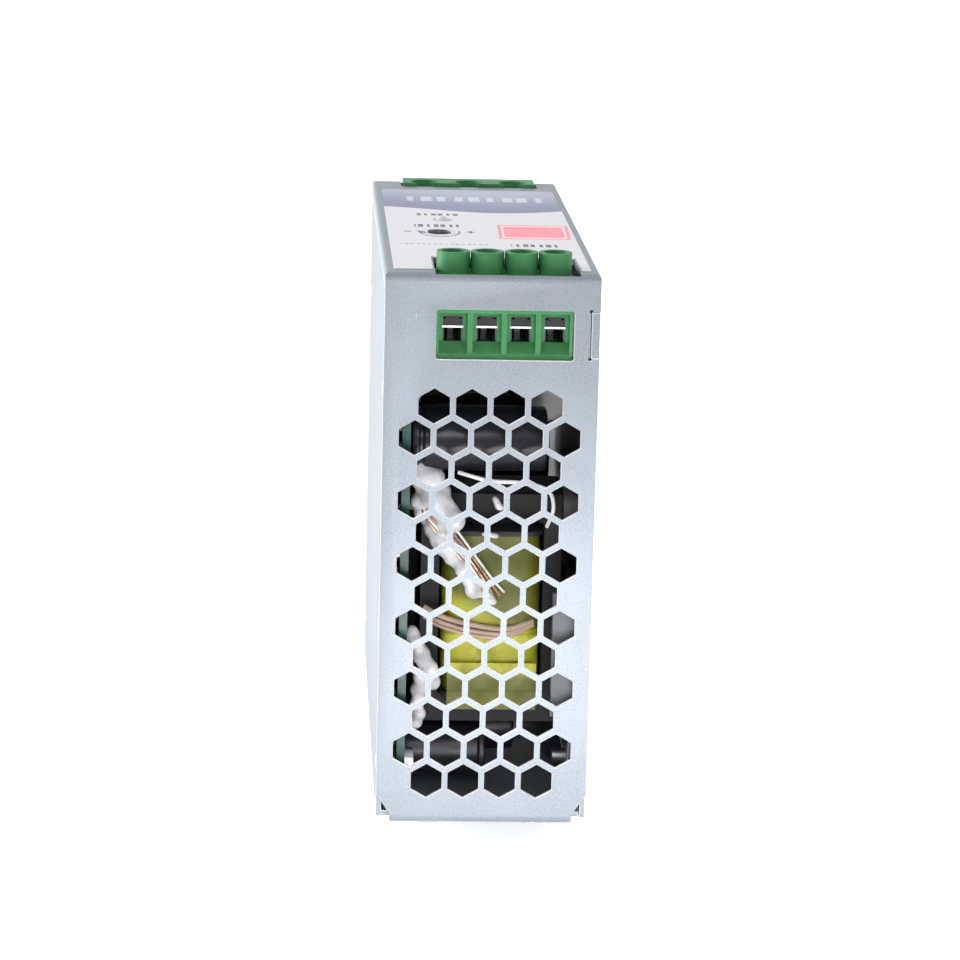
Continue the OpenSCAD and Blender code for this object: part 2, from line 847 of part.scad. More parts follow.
module rail_latch() {
    nose_y = rail_w / 2 - 2.7;
    wall_y = rail_w / 2 + 0.2;
    color("lightgray")
    difference() {
        union() {
            box([-latch_half, nose_y, latch_lo], [latch_half, 35.6, hook_t]);
            box([-latch_half, wall_y, latch_lo], [latch_half, 35.6, latch_hi]);
            box([-latch_half - 1.1, wall_y + 0.6, 1.4], [latch_half + 1.1, 35.6, 2.2]);
            box([-6, 35.5, latch_lo], [6, 55, latch_hi]);
        }
        // sloping nose, spring window and slot for a screwdriver
        along_x(-latch_half - 1, latch_half + 1)
            polygon([[nose_y - 1, latch_lo + 1], [nose_y + 1, latch_lo - 0.2],
                     [nose_y - 1, latch_lo - 0.2]]);
        box([-2.4, spring_y0, 0], [2.4, spring_y1 + 2.5, seat_z]);
        box([-3, 48.5, 0], [3, 51.5, seat_z]);
    }
}

// point of the spring wire's centre line at turn fraction t
function coil_point(t) = [
    spring_r * cos(360 * t), spring_y0 + spring_wire + 0.05 + (spring_y1 - spring_y0 - 2 * spring_wire - 0.1)
        * t / spring_turns, spring_z + spring_r * sin(360 * t)
];

module latch_spring() {
    sides = 6;
    per_turn = 14;
    rings = spring_turns * per_turn;
    points = [for (k = [0:rings], s = [0:sides - 1])
        let (t = k / per_turn, a = 360 * s / sides, out = [cos(360 * t), 0, sin(360 * t)])
            coil_point(t) + spring_wire * cos(a) * out + spring_wire * sin(a) * [0, 1, 0]];
    tube = [for (k = [0:rings - 1], s = [0:sides - 1])
        let (n = (s + 1) % sides)
            [k * sides + s, (k + 1) * sides + s, (k + 1) * sides + n, k * sides + n]];
    first = [for (s = [0:sides - 1]) s];
    last = [for (s = [sides - 1:-1:0]) rings * sides + s];
    color("silver") polyhedron(points, concat([first], tube, [last]), convexity = 8);
}

front_wrap();
chassis();
side_cover();
front_label();
cover_screws();
lip_rivets();
insulation_sheet();
board_standoffs();
board_screws();
main_board();
output_board();
input_board();
output_housing();
input_housing();
output_contacts();
input_contacts();
trimmer_body();
trimmer_rotor();
status_light();
transformer_core();
transformer_winding();
transformer_bobbin();
choke_core();
choke_winding();
filter_core();
filter_winding();
output_choke();
bulk_capacitors();
output_capacitors();
film_capacitor();
disc_capacitors();
fuse();
varistor();
thermistor();
bridge_rectifier();
primary_heatsink();
primary_transistors();
secondary_heatsink();
output_rectifiers();
alarm_relay();
control_chips();
rail_bracket();
bracket_screws();
rail_latch();
latch_spring();
for (i = [0:out_poles - 1]) {
    output_screw(i);
    output_clamp(i);
}
for (i = [0:in_poles - 1]) {
    input_screw(i);
    input_clamp(i);
}
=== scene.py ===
"""Looks of a slim rail-mounted power supply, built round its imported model.

Every piece is in metres, in the model's own frame: +Z out of the front panel, X across the narrow width,
-Y the output end. Patterns on the surfaces are worked out in millimetres from object coordinates.
"""
import math
import random

import bmesh
import bpy
from mathutils import Matrix, Vector


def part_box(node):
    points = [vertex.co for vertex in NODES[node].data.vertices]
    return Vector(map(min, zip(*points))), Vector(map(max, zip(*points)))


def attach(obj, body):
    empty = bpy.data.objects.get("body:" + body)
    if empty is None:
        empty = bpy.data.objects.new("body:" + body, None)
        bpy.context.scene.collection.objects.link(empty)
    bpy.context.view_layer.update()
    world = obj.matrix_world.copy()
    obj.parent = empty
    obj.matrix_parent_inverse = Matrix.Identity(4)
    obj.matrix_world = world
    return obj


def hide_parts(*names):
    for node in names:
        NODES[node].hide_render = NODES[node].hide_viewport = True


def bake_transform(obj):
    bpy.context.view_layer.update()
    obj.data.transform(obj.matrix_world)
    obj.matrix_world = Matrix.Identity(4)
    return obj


bl_info = {
    "name": "Rail Power Supply",
    "version": (1, 0, 0),
    "blender": (4, 5, 0),
    "location": "View3D > Sidebar > Supply",
    "description": "Builds the visible pieces and finishes of a rail-mounted power supply",
    "category": "Add Mesh",
}

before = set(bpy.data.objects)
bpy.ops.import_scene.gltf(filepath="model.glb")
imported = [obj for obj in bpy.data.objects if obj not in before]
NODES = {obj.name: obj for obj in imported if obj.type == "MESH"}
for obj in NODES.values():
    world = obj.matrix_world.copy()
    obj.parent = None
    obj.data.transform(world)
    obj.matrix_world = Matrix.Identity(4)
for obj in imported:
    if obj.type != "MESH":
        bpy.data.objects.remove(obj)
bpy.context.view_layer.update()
MM = 0.001
CASE_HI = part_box("front_wrap")[1]
HALF_W = CASE_HI.x / MM
HALF_L = CASE_HI.y / MM
BODY = "case"


# ---- sizes and colours that a user would change ----

class CaseSettings(bpy.types.PropertyGroup):
    edge: bpy.props.FloatProperty(
        name="Edge rounding", description="Width of the rolled edge round every punched opening",
        default=0.36 * MM, min=0.05 * MM, max=0.4 * MM, unit="LENGTH", precision=5)
    metal: bpy.props.FloatVectorProperty(
        name="Metal colour", description="Colour of the matt sheet", subtype="COLOR",
        size=3, default=(0.252, 0.280, 0.315), min=0, max=1)


class LabelSettings(bpy.types.PropertyGroup):
    film: bpy.props.FloatVectorProperty(
        name="Film colour", description="Colour of the blank label", subtype="COLOR",
        size=3, default=(0.68, 0.675, 0.705), min=0, max=1)
    band: bpy.props.FloatVectorProperty(
        name="Band colour", description="Colour of the wavy band", subtype="COLOR",
        size=3, default=(0.155, 0.17, 0.30), min=0, max=1)
    block: bpy.props.FloatVectorProperty(
        name="Block colour", description="Colour of the plain block", subtype="COLOR",
        size=3, default=(0.86, 0.20, 0.27), min=0, max=1)


class TerminalSettings(bpy.types.PropertyGroup):
    plastic: bpy.props.FloatVectorProperty(
        name="Plastic colour", description="Colour of the terminal housings", subtype="COLOR",
        size=3, default=(0.042, 0.195, 0.070), min=0, max=1)
    edge: bpy.props.FloatProperty(
        name="Edge rounding", description="Radius on the moulded edges",
        default=0.14 * MM, min=0.05 * MM, max=0.3 * MM, unit="LENGTH", precision=5)


class InsideSettings(bpy.types.PropertyGroup):
    tape: bpy.props.FloatVectorProperty(
        name="Tape colour", description="Colour of the tape round the transformer", subtype="COLOR",
        size=3, default=(0.37, 0.36, 0.018), min=0, max=1)
    board: bpy.props.FloatVectorProperty(
        name="Board colour", description="Colour of the solder mask", subtype="COLOR",
        size=3, default=(0.004, 0.038, 0.029), min=0, max=1)
    choke_turns: bpy.props.IntProperty(
        name="Choke turns", description="Turns of wire round each ring core", default=30, min=8, max=60)
    seed: bpy.props.IntProperty(
        name="Seed", description="Seed for the scatter of small parts", default=7, min=0, max=1000)


class StageSettings(bpy.types.PropertyGroup):
    camera_place: bpy.props.FloatVectorProperty(
        name="Camera place", description="Where the camera stands", subtype="TRANSLATION",
        size=3, default=(-0.0364, -0.7000, 0.2172), unit="LENGTH")
    heading: bpy.props.FloatProperty(
        name="Heading", description="Turn of the view to the right of +Y",
        default=math.radians(3.12), unit="ROTATION")
    dip: bpy.props.FloatProperty(
        name="Dip", description="Angle of the view below the horizon",
        default=math.radians(12.60), unit="ROTATION")
    roll: bpy.props.FloatProperty(
        name="Roll", description="Clockwise roll of the camera", default=math.radians(1.41), unit="ROTATION")
    lens: bpy.props.FloatProperty(
        name="Lens", description="Focal length for a 36 mm wide sensor, in mm",
        default=131.3, min=50, max=200)


GROUPS = {
    "supply_case": CaseSettings,
    "supply_label": LabelSettings,
    "supply_terminals": TerminalSettings,
    "supply_inside": InsideSettings,
    "supply_stage": StageSettings,
}


# ---- node trees written as expressions ----

class Value:
    """A number socket; arithmetic on it adds Math nodes to its tree."""

    def __init__(self, tree, socket):
        self.tree = tree
        self.socket = socket

    def maths(self, operation, *values):
        kind = "ShaderNodeMath"
        return self.tree.node(kind, {"operation": operation}, dict(enumerate(values)))

    def __add__(self, other): return self.maths("ADD", self, other)
    def __radd__(self, other): return self.maths("ADD", other, self)
    def __sub__(self, other): return self.maths("SUBTRACT", self, other)
    def __rsub__(self, other): return self.maths("SUBTRACT", other, self)
    def __mul__(self, other): return self.maths("MULTIPLY", self, other)
    def __rmul__(self, other): return self.maths("MULTIPLY", other, self)
    def __truediv__(self, other): return self.maths("DIVIDE", self, other)
    def __rtruediv__(self, other): return self.maths("DIVIDE", other, self)
    def __neg__(self): return self.maths("MULTIPLY", self, -1.0)
    def __abs__(self): return self.maths("ABSOLUTE", self)
    def low(self, other): return self.maths("MINIMUM", self, other)
    def high(self, other): return self.maths("MAXIMUM", self, other)
    def root(self): return self.maths("SQRT", self)
    def sine(self): return self.maths("SINE", self)
    def wrap(self, half): return self.maths("WRAP", self, half, -half)

    def fade(self, start, end):
        """0 at start and below, 1 at end and above, smooth between; start may be the larger."""
        if start > end:
            return 1 - self.fade(end, start)
        ramp = {"interpolation_type": "SMOOTHSTEP"}
        return self.tree.node("ShaderNodeMapRange", ramp, {"Value": self, "From Min": start, "From Max": end})


class Tree:
    """A node tree whose nodes all come from node()."""

    def __init__(self, tree):
        self.tree = tree

    def node(self, kind, settings=None, inputs=None, output=0):
        made = self.tree.nodes.new(kind)
        for key, value in (settings or {}).items():
            if key == "stops":
                ramp = made.color_ramp
                while len(ramp.elements) < len(value):
                    ramp.elements.new(0.5)
                for element, (place, colour) in zip(ramp.elements, value):
                    element.position = place
                    element.color = (*colour, 1)
            else:
                setattr(made, key, value)
        for key, value in (inputs or {}).items():
            self.feed(made.inputs[key], value)
        return Value(self, made.outputs[output])

    def feed(self, socket, value):
        if isinstance(value, Value):
            self.tree.links.new(value.socket, socket)
        elif hasattr(socket.default_value, "__len__") and len(socket.default_value) == 4 and len(value) == 3:
            socket.default_value = (*value, 1)
        else:
            socket.default_value = value


class Finish(Tree):
    """A Principled material built from expressions in millimetres."""

    def __init__(self, name, colour=(0.5, 0.5, 0.5), roughness=0.5, metallic=0.0, **sockets):
        self.material = bpy.data.materials.new(name)
        self.material.use_nodes = True
        super().__init__(self.material.node_tree)
        self.shader = self.tree.nodes["Principled BSDF"]
        self.put("Base Color", colour)
        self.put("Roughness", roughness)
        self.put("Metallic", metallic)
        for key, value in sockets.items():
            self.put(key.replace("_", " "), value)
        self._place = None

    def put(self, socket, value):
        self.feed(self.shader.inputs[socket], value)

    def place(self):
        """The surface point, as a vector in millimetres."""
        if self._place is None:
            point = self.node("ShaderNodeTexCoord", output="Object")
            self._place = self.node(
                "ShaderNodeVectorMath", {"operation": "SCALE"}, {0: point, "Scale": 1 / MM})
        return self._place

    def axes(self):
        point = self.place()
        return [self.node("ShaderNodeSeparateXYZ", None, {0: point}, output=k) for k in range(3)]

    def stretched(self, factors):
        return self.node("ShaderNodeVectorMath", {"operation": "MULTIPLY"}, {0: self.place(), 1: factors})

    def noise(self, size, detail=3.0, vector=None, rough=0.5):
        """Noise between 0 and 1 whose features are about size millimetres across."""
        inputs = {"Vector": vector or self.place(), "Scale": 1 / size, "Detail": detail, "Roughness": rough}
        return self.node("ShaderNodeTexNoise", None, inputs)

    def mix(self, factor, first, second):
        return self.node("ShaderNodeMix", {"data_type": "RGBA"}, {0: factor, 6: first, 7: second}, output=2)

    def bump(self, height, depth=0.1, strength=1.0):
        """Relief: height 0..1 over depth millimetres."""
        inputs = {"Height": height, "Distance": depth * MM, "Strength": strength}
        self.put("Normal", self.node("ShaderNodeBump", None, inputs))


def scaled(colour, factor):
    return tuple(min(1.0, c * factor) for c in colour)


# ---- finishes ----

def sheet_tones(f, colour):
    """Matt sheet: fine salt-and-pepper mottling over faint clouds; gives tone, grain and mottle."""
    grain = f.noise(0.22, 2.0)
    mottle = f.noise(0.42, 4.0, rough=0.7)
    clouds = f.noise(14.0, 2.0)
    tone = f.mix(mottle.fade(0.32, 0.68), scaled(colour, 0.86), scaled(colour, 1.10))
    tone = f.mix(clouds.fade(0.3, 0.7) * 0.35, tone, scaled(colour, 1.14))
    return tone, grain, mottle


def sheet_finish():
    """The case sheet, with rolling marks and a few scuffs."""
    colour = tuple(bpy.context.scene.supply_case.metal)
    f = Finish("case_sheet", metallic=0.45, Specular_IOR_Level=0.5)
    tone, grain, mottle = sheet_tones(f, colour)
    rolling = f.noise(0.5, 2.0, f.stretched((1, 1, 0.05)))
    scuffs = f.noise(0.9, 5.0, f.stretched((1, 1, 0.12)), rough=0.7).fade(0.68, 0.75)
    f.put("Base Color", f.mix(scuffs * 0.3, tone, (0.80, 0.83, 0.87)))
    f.put("Roughness", 0.40 + grain * 0.12 - scuffs * 0.10 + rolling * 0.04)
    f.bump(grain * 0.5 + mottle * 0.5, 0.03, 0.3)
    return f.material


def glowing_edge_finish():
    """Bare edge left by the punch, painted near white and made to glow: a painted highlight along every rim.
    """
    f = Finish("bright_edge", metallic=0.0, Emission_Color=(1, 1, 1))
    # painted highlight: the edge glows of its own, so the rims read white under any light
    f.put("Emission Strength", 0.32)
    grain = f.noise(0.25, 3.0)
    shear = f.noise(0.3, 2.0, f.stretched((3, 0.4, 3)))
    f.put("Base Color", f.mix(grain, (0.93, 0.94, 0.96), (0.84, 0.86, 0.90)))
    f.put("Roughness", 0.34 + shear * 0.18)
    f.bump(shear, 0.02, 0.3)
    return f.material


def box_mask(x, y, centre, half, soft=0.15):
    """1 inside the rectangle round centre, 0 outside."""
    across = abs(x - centre[0]).fade(half[0] + soft, half[0])
    along = abs(y - centre[1]).fade(half[1] + soft, half[1])
    return across * along


def dash_mask(x, y, centre, half, dash):
    """A row of small dashes of uneven length, which stands for a line of print."""
    wave = (x * (6.283 / dash)).sine() + (x * (6.283 / dash * 0.37) + 1.3).sine() * 0.6
    return box_mask(x, y, centre, half) * wave.fade(-0.35, 0.05)


def label_finish():
    """Printed film: wavy band at the far end, plain block, and marks round the adjustment hole."""
    look = bpy.context.scene.supply_label
    hole_lo, hole_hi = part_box("trimmer_rotor")
    hole = ((hole_lo + hole_hi) / 2) / MM
    lamp_lo, lamp_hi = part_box("status_light")
    f = Finish("label_print", roughness=0.42, Coat_Roughness=0.3)
    x, y, z = f.axes()
    film = f.mix(f.noise(25.0, 2.0) * 0.5, tuple(look.film), scaled(look.film, 1.06))
    film = f.mix(f.noise(0.4, 2.0) * 0.12, film, (0.60, 0.60, 0.64))
    # the band's lower edge sinks in one slow wave from left to right
    edge = 18.0 + ((x + 21.5) * 0.119 + 1.57).sine() * 3.9
    inside = (y - edge).fade(-0.5, 0.5)
    depth = (y - edge).fade(0.0, 33.0)
    band = f.mix(depth, tuple(look.band), (0.40, 0.44, 0.54))
    band = f.mix(f.noise(6.0, 2.0) * 0.18, band, (0.44, 0.46, 0.57))
    dashes = dash_mask(x, y, (0.5, 33.5), (15.5, 3.2), 3.4)
    band = f.mix(dashes * 0.45, band, (0.86, 0.87, 0.94))
    shown = f.mix(inside, film, band)
    # plain block with a light inset line
    lean = (y + 11.5) * 0.03
    block_middle = (10.6, -11.5)
    block = box_mask(x - lean, y, block_middle, (7.0, 9.2))
    inset = box_mask(x - lean, y, block_middle, (6.3, 8.0))
    inset = inset - box_mask(x - lean, y, block_middle, (5.9, 6.9))
    rose = f.mix(f.noise(1.5, 2.0) * 0.4, tuple(look.block), (1.0, 0.52, 0.56))
    rose = f.mix(inset.high(0) * 0.8, rose, (1.0, 0.86, 0.88))
    shown = f.mix(block, shown, rose)
    # dark rows of print
    print_rows = dash_mask(x, y, (-7.6, 10.8), (4.3, 1.3), 1.5)
    print_rows = print_rows.high(dash_mask(x, y, (hole.x - 0.3, hole.y + 8.0), (4.4, 1.7), 1.5))
    print_rows = print_rows.high(dash_mask(x, y, (-7.8, -28.6), (8.4, 0.45), 1.1) * 0.6)
    print_rows = print_rows.high(dash_mask(x, y, (9.6, -29.0), (4.4, 1.6), 1.5))
    # arc with a swelling end, plus and minus marks
    dx = x - hole.x
    dy = (y - hole.y) * 0.62
    away = (dx * dx + dy * dy).root()
    ring = abs(away - 3.95).fade(0.30, 0.12) * dy.fade(0.9, 0.2)
    collar = abs(away - 2.95).fade(0.22, 0.08) * 0.35
    arrow = box_mask(x + y * 0.5, y, (hole.x - 3.7 + hole.y * 0.5, hole.y - 0.5), (0.55, 1.2))
    plus = box_mask(x, y, (hole.x + 6.2, hole.y), (0.75, 0.32)).high(
        box_mask(x, y, (hole.x + 6.2, hole.y), (0.22, 1.3)))
    minus = box_mask(x, y, (hole.x - 6.3, hole.y), (0.62, 0.45))
    ink = print_rows.high(ring).high(collar).high(arrow).high(plus).high(minus)
    shown = f.mix(ink * 0.92, shown, (0.06, 0.06, 0.08))
    # ring of light grey round the lamp
    lamp_x = (lamp_hi.x / MM) - 1.9
    ldx = x - lamp_x
    ldy = (y - (lamp_lo.y + lamp_hi.y) / 2 / MM) * 0.7
    halo = (ldx * ldx + ldy * ldy).root().fade(2.6, 1.6)
    shown = f.mix(halo * 0.4, shown, (0.42, 0.42, 0.46))
    f.put("Base Color", shown)
    f.put("Roughness", 0.40 + f.noise(2.0, 2.0) * 0.10)
    f.bump(f.noise(0.5, 3.0), 0.015, 0.3)
    return f.material


def plastic_finish(name, colour, roughness=0.42, grain_size=0.25, lift=1.25):
    """Moulded plastic: eroded texture, faint flow clouds, paler worn patches."""
    f = Finish(name, Specular_IOR_Level=0.35)
    grain = f.noise(grain_size, 3.0)
    clouds = f.noise(4.0, 3.0)
    tone = f.mix(clouds.fade(0.3, 0.7) * 0.5, colour, scaled(colour, lift))
    tone = f.mix(grain.fade(0.5, 0.8) * 0.25, tone, scaled(colour, 0.8))
    f.put("Base Color", tone)
    f.put("Roughness", roughness + grain * 0.14 + clouds * 0.06)
    f.bump(grain, 0.02, 0.4)
    return f.material


def plated_finish(name, colour=(0.72, 0.73, 0.75), roughness=0.24, metallic=1.0, brushed=(1, 1, 1)):
    """Plated or bare metal: fine lines, dull patches and tiny pits."""
    f = Finish(name, metallic=metallic)
    lines = f.noise(0.22, 3.0, f.stretched(brushed))
    patches = f.noise(2.2, 3.0)
    pits = f.noise(0.18, 2.0).fade(0.62, 0.72)
    tone = f.mix(patches, colour, scaled(colour, 0.82))
    f.put("Base Color", f.mix(pits * 0.35, tone, scaled(colour, 0.45)))
    f.put("Roughness", roughness + lines * 0.14 + patches * 0.10)
    f.bump(lines, 0.01, 0.35)
    return f.material


def board_finish():
    """Solder mask over copper: tracks show as paler lines, with pads and vias."""
    colour = tuple(bpy.context.scene.supply_inside.board)
    f = Finish("solder_mask", Coat_Weight=0.15, Coat_Roughness=0.25, Specular_IOR_Level=0.35)
    x, y, z = f.axes()
    bend = f.noise(9.0, 1.0)
    lane = (z + bend * 6.0).wrap(1.6)
    tracks = abs(lane).fade(0.62, 0.50)
    rail = ((y + bend * 4.0).wrap(2.4).maths("ABSOLUTE", (y + bend * 4.0).wrap(2.4))).fade(0.85, 0.70)
    zone = f.noise(11.0, 1.0).fade(0.48, 0.52)
    copper = tracks * zone + rail * (1 - zone)
    via_y = (y + 1.1).wrap(2.55)
    via_z = (z + 0.4).wrap(2.55)
    via = (via_y * via_y + via_z * via_z).root()
    via_ring = via.fade(0.45, 0.38) * f.noise(5.0, 0.0).fade(0.55, 0.58)
    tone = f.mix(copper * 0.75, colour, scaled(colour, 2.1))
    tone = f.mix(via_ring, tone, (0.45, 0.43, 0.36))
    f.put("Base Color", f.mix(f.noise(0.7) * 0.2, tone, scaled(colour, 0.6)))
    f.put("Roughness", 0.30 + f.noise(1.5, 2.0) * 0.12)
    f.bump(copper * 0.7 + via_ring, 0.04, 0.5)
    return f.material


def tape_finish():
    """Polyester tape: overlapping turns, wrinkles, trapped air and a soft sheen, with painted shade towards
    the top, the +X side and the bottom.
    """
    colour = tuple(bpy.context.scene.supply_inside.tape)
    f = Finish("winding_tape", Coat_Weight=0.08, Coat_Roughness=0.3, Specular_IOR_Level=0.3)
    x, y, z = f.axes()
    wrinkle = f.noise(3.0, 4.0, f.stretched((1, 1, 0.35)), rough=0.6)
    air = f.noise(5.0, 2.0).fade(0.52, 0.62)
    lap = abs((z + wrinkle * 1.2).wrap(5.4)).fade(0.35, 0.05)
    patchy = f.noise(9.0, 3.0)
    # painted shade: the tape darkens towards the top and the +X side, and below about z 33 mm, where it lies
    # in shadow
    painted_shade = (z + x * 0.5 + patchy * 6.0).fade(48.5, 52.5).high((z - patchy * 4.0).fade(35.0, 31.5))
    tone = f.mix(air * 0.6, colour, (0.50, 0.49, 0.08))
    tone = f.mix(wrinkle.fade(0.5, 0.75) * 0.55, tone, (0.17, 0.19, 0.02))
    tone = f.mix(lap * 0.5, tone, (0.16, 0.16, 0.03))
    f.put("Base Color", f.mix(painted_shade * 0.85, tone, (0.052, 0.06, 0.006)))
    f.put("Roughness", 0.38 + wrinkle * 0.22)
    f.bump(wrinkle + lap * 0.4, 0.25, 0.5)
    return f.material


def ferrite_finish():
    f = Finish("ferrite", Specular_IOR_Level=0.2)
    grit = f.noise(0.3, 4.0, rough=0.7)
    ground = f.noise(0.25, 2.0, f.stretched((0.08, 1, 1)))
    tone = f.mix(grit, (0.006, 0.006, 0.008), (0.022, 0.022, 0.026))
    f.put("Base Color", f.mix(ground.fade(0.6, 0.8) * 0.4, tone, (0.05, 0.05, 0.055)))
    f.put("Roughness", 0.40 + grit * 0.2)
    f.bump(grit, 0.05, 0.5)
    return f.material


def wire_finish(name, colour=(0.36, 0.13, 0.04)):
    f = Finish(name, metallic=0.65, Coat_Weight=0.6, Coat_Roughness=0.12)
    drift = f.noise(1.6, 3.0)
    burn = f.noise(6.0, 2.0).fade(0.55, 0.75)
    tone = f.mix(drift, colour, scaled(colour, 1.7))
    f.put("Base Color", f.mix(burn * 0.5, tone, scaled(colour, 0.4)))
    f.put("Roughness", 0.25 + drift * 0.15)
    f.bump(f.noise(0.3, 2.0), 0.02, 0.3)
    return f.material


def silicone_finish():
    f = Finish("white_silicone", Coat_Weight=0.35, Coat_Roughness=0.2, Specular_IOR_Level=0.5)
    skin = f.noise(2.0, 4.0)
    fine = f.noise(0.5, 3.0)
    tone = f.mix(skin.fade(0.4, 0.7), (0.66, 0.66, 0.68), (0.50, 0.50, 0.52))
    f.put("Base Color", f.mix(fine * 0.12, tone, (0.45, 0.43, 0.44)))
    f.put("Roughness", 0.30 + fine * 0.2)
    f.bump(skin * 0.8 + fine * 0.2, 0.1, 0.5)
    return f.material


def sleeve_finish():
    """Shrunk black sleeve of a capacitor: glossy, drawn tight, slightly rippled."""
    f = Finish("can_sleeve", Coat_Weight=0.12, Coat_Roughness=0.2, Specular_IOR_Level=0.3)
    ripple = f.noise(1.8, 2.0, f.stretched((0.25, 1, 1)))
    dust = f.noise(0.5, 4.0).fade(0.6, 0.8)
    f.put("Base Color", f.mix(dust * 0.3, (0.012, 0.012, 0.018), (0.09, 0.09, 0.11)))
    f.put("Roughness", 0.28 + ripple * 0.15 + dust * 0.1)
    f.bump(ripple, 0.05, 0.4)
    return f.material


def film_sheet_finish():
    f = Finish("insulation_film", Specular_IOR_Level=0.4)
    fibre = f.noise(0.6, 4.0, f.stretched((1, 1, 0.3)))
    f.put("Base Color", f.mix(fibre, (0.66, 0.63, 0.52), (0.52, 0.49, 0.40)))
    f.put("Roughness", 0.5 + fibre * 0.15)
    f.bump(fibre, 0.03, 0.4)
    return f.material


def lens_finish():
    """Milky lens of the status light, unlit."""
    f = Finish("lamp_lens", Coat_Weight=0.6, Coat_Roughness=0.08, Specular_IOR_Level=0.6)
    cloud = f.noise(0.9, 3.0)
    f.put("Base Color", f.mix(cloud, (0.46, 0.47, 0.48), (0.62, 0.63, 0.64)))
    f.put("Roughness", 0.22 + cloud * 0.12)
    f.bump(cloud, 0.02, 0.3)
    return f.material


def glass_finish():
    f = Finish("fuse_glass", Coat_Weight=0.8, Coat_Roughness=0.05, Specular_IOR_Level=0.7)
    haze = f.noise(1.2, 3.0)
    f.put("Base Color", f.mix(haze, (0.55, 0.60, 0.60), (0.75, 0.78, 0.78)))
    f.put("Roughness", 0.08 + haze * 0.10)
    f.bump(haze, 0.02, 0.2)
    return f.material


def cover_finish():
    """The sheet finish with a blank rating label stuck in the middle of the cover."""
    colour = tuple(bpy.context.scene.supply_case.metal)
    f = Finish("cover_sheet", Specular_IOR_Level=0.4)
    x, y, z = f.axes()
    metal, grain, mottle = sheet_tones(f, colour)
    paper = box_mask(y, z, (0, 62), (44, 24), 0.1) * x.fade(HALF_W - 0.3, HALF_W - 0.1)
    white = f.mix(f.noise(0.6, 3.0) * 0.2, (0.84, 0.85, 0.87), (0.74, 0.75, 0.78))
    rows = abs((z - 60.5).wrap(2.4)).fade(0.8, 0.6)
    words = dash_mask(y, z, (-12, 60), (26, 15), 2.6) * rows * f.noise(7.0, 1.0).fade(0.38, 0.46)
    frame_line = box_mask(y, z, (0, 62), (42.5, 22.5), 0.1) - box_mask(y, z, (0, 62), (42, 22), 0.1)
    white = f.mix((words * 0.7).high(frame_line), white, (0.13, 0.14, 0.18))
    stripe = box_mask(y, z, (0, 81), (42, 2.6), 0.1)
    white = f.mix(stripe, white, (0.24, 0.26, 0.46))
    f.put("Base Color", f.mix(paper, metal, white))
    f.put("Metallic", (1 - paper) * 0.45)
    f.put("Roughness", 0.42 + grain * 0.12)
    f.bump(mottle * (1 - paper) * 0.5 + grain * 0.5 + paper * 2.0, 0.03, 0.35)
    return f.material


def floor_finish():
    """Pale floor with a faint glow of its own, so that it stays as white as the room."""
    f = Finish("pale_floor", roughness=0.9, Specular_IOR_Level=0.1, Emission_Color=(1, 1, 1))
    f.put("Emission Strength", 0.45)
    f.put("Base Color", f.mix(f.noise(60.0, 2.0) * 0.5, (0.93, 0.93, 0.935), (0.90, 0.90, 0.905)))
    return f.material


def card_finish():
    f = Finish("dark_card", roughness=0.9, Specular_IOR_Level=0.1)
    f.put("Base Color", f.mix(f.noise(90.0, 2.0), (0.10, 0.10, 0.11), (0.12, 0.12, 0.13)))
    return f.material


FINISHES = {}


# name, colour and roughness
PLASTICS = {
    "black": ("black_plastic", (0.018, 0.018, 0.020), 0.45),
    "blue": ("blue_coating", (0.02, 0.09, 0.36), 0.30),
    "white": ("white_plastic", (0.76, 0.76, 0.74), 0.40),
    "yellow": ("yellow_box", (0.62, 0.44, 0.05), 0.38),
    "beige": ("resistor_body", (0.55, 0.42, 0.26), 0.40),
    "pink_sleeve": ("pink_sleeve", (0.42, 0.30, 0.25), 0.35),
}
# name, colour, roughness, metallic and direction of the brushing
METALS = {
    "nickel": ("nickel_plate", (0.66, 0.66, 0.67), 0.20),
    # painted shade: steel darkened to near black for the wire guards, which sit in shade inside the terminal
    # windows
    "dull": ("dull_steel", (0.032, 0.033, 0.036), 0.34, 0.4),
    # painted shade: nickel darkened to near black for the clamp cages, which sit in shade inside the terminal
    # windows
    "dark_nickel": ("dark_nickel", (0.11, 0.11, 0.12), 0.26, 0.9),
    "steel": ("zinc_steel", (0.60, 0.62, 0.65), 0.30),
    "tin": ("tin_plate", (0.70, 0.70, 0.71), 0.22),
    "can": ("bare_can", (0.80, 0.80, 0.81), 0.48, 0.1),
    "plate": ("grey_plate", (0.125, 0.135, 0.15), 0.48, 0.35, (0.1, 1, 1)),
    "cast": ("cast_bracket", (0.46, 0.48, 0.50), 0.42, 0.85),
    "latch": ("latch_steel", (0.56, 0.58, 0.62), 0.28, 1.0, (1, 0.1, 1)),
    "brass": ("turned_brass", (0.62, 0.42, 0.14), 0.26),
    "spring": ("spring_wire", (0.40, 0.41, 0.43), 0.25),
    "solder": ("solder", (0.62, 0.63, 0.64), 0.22),
}


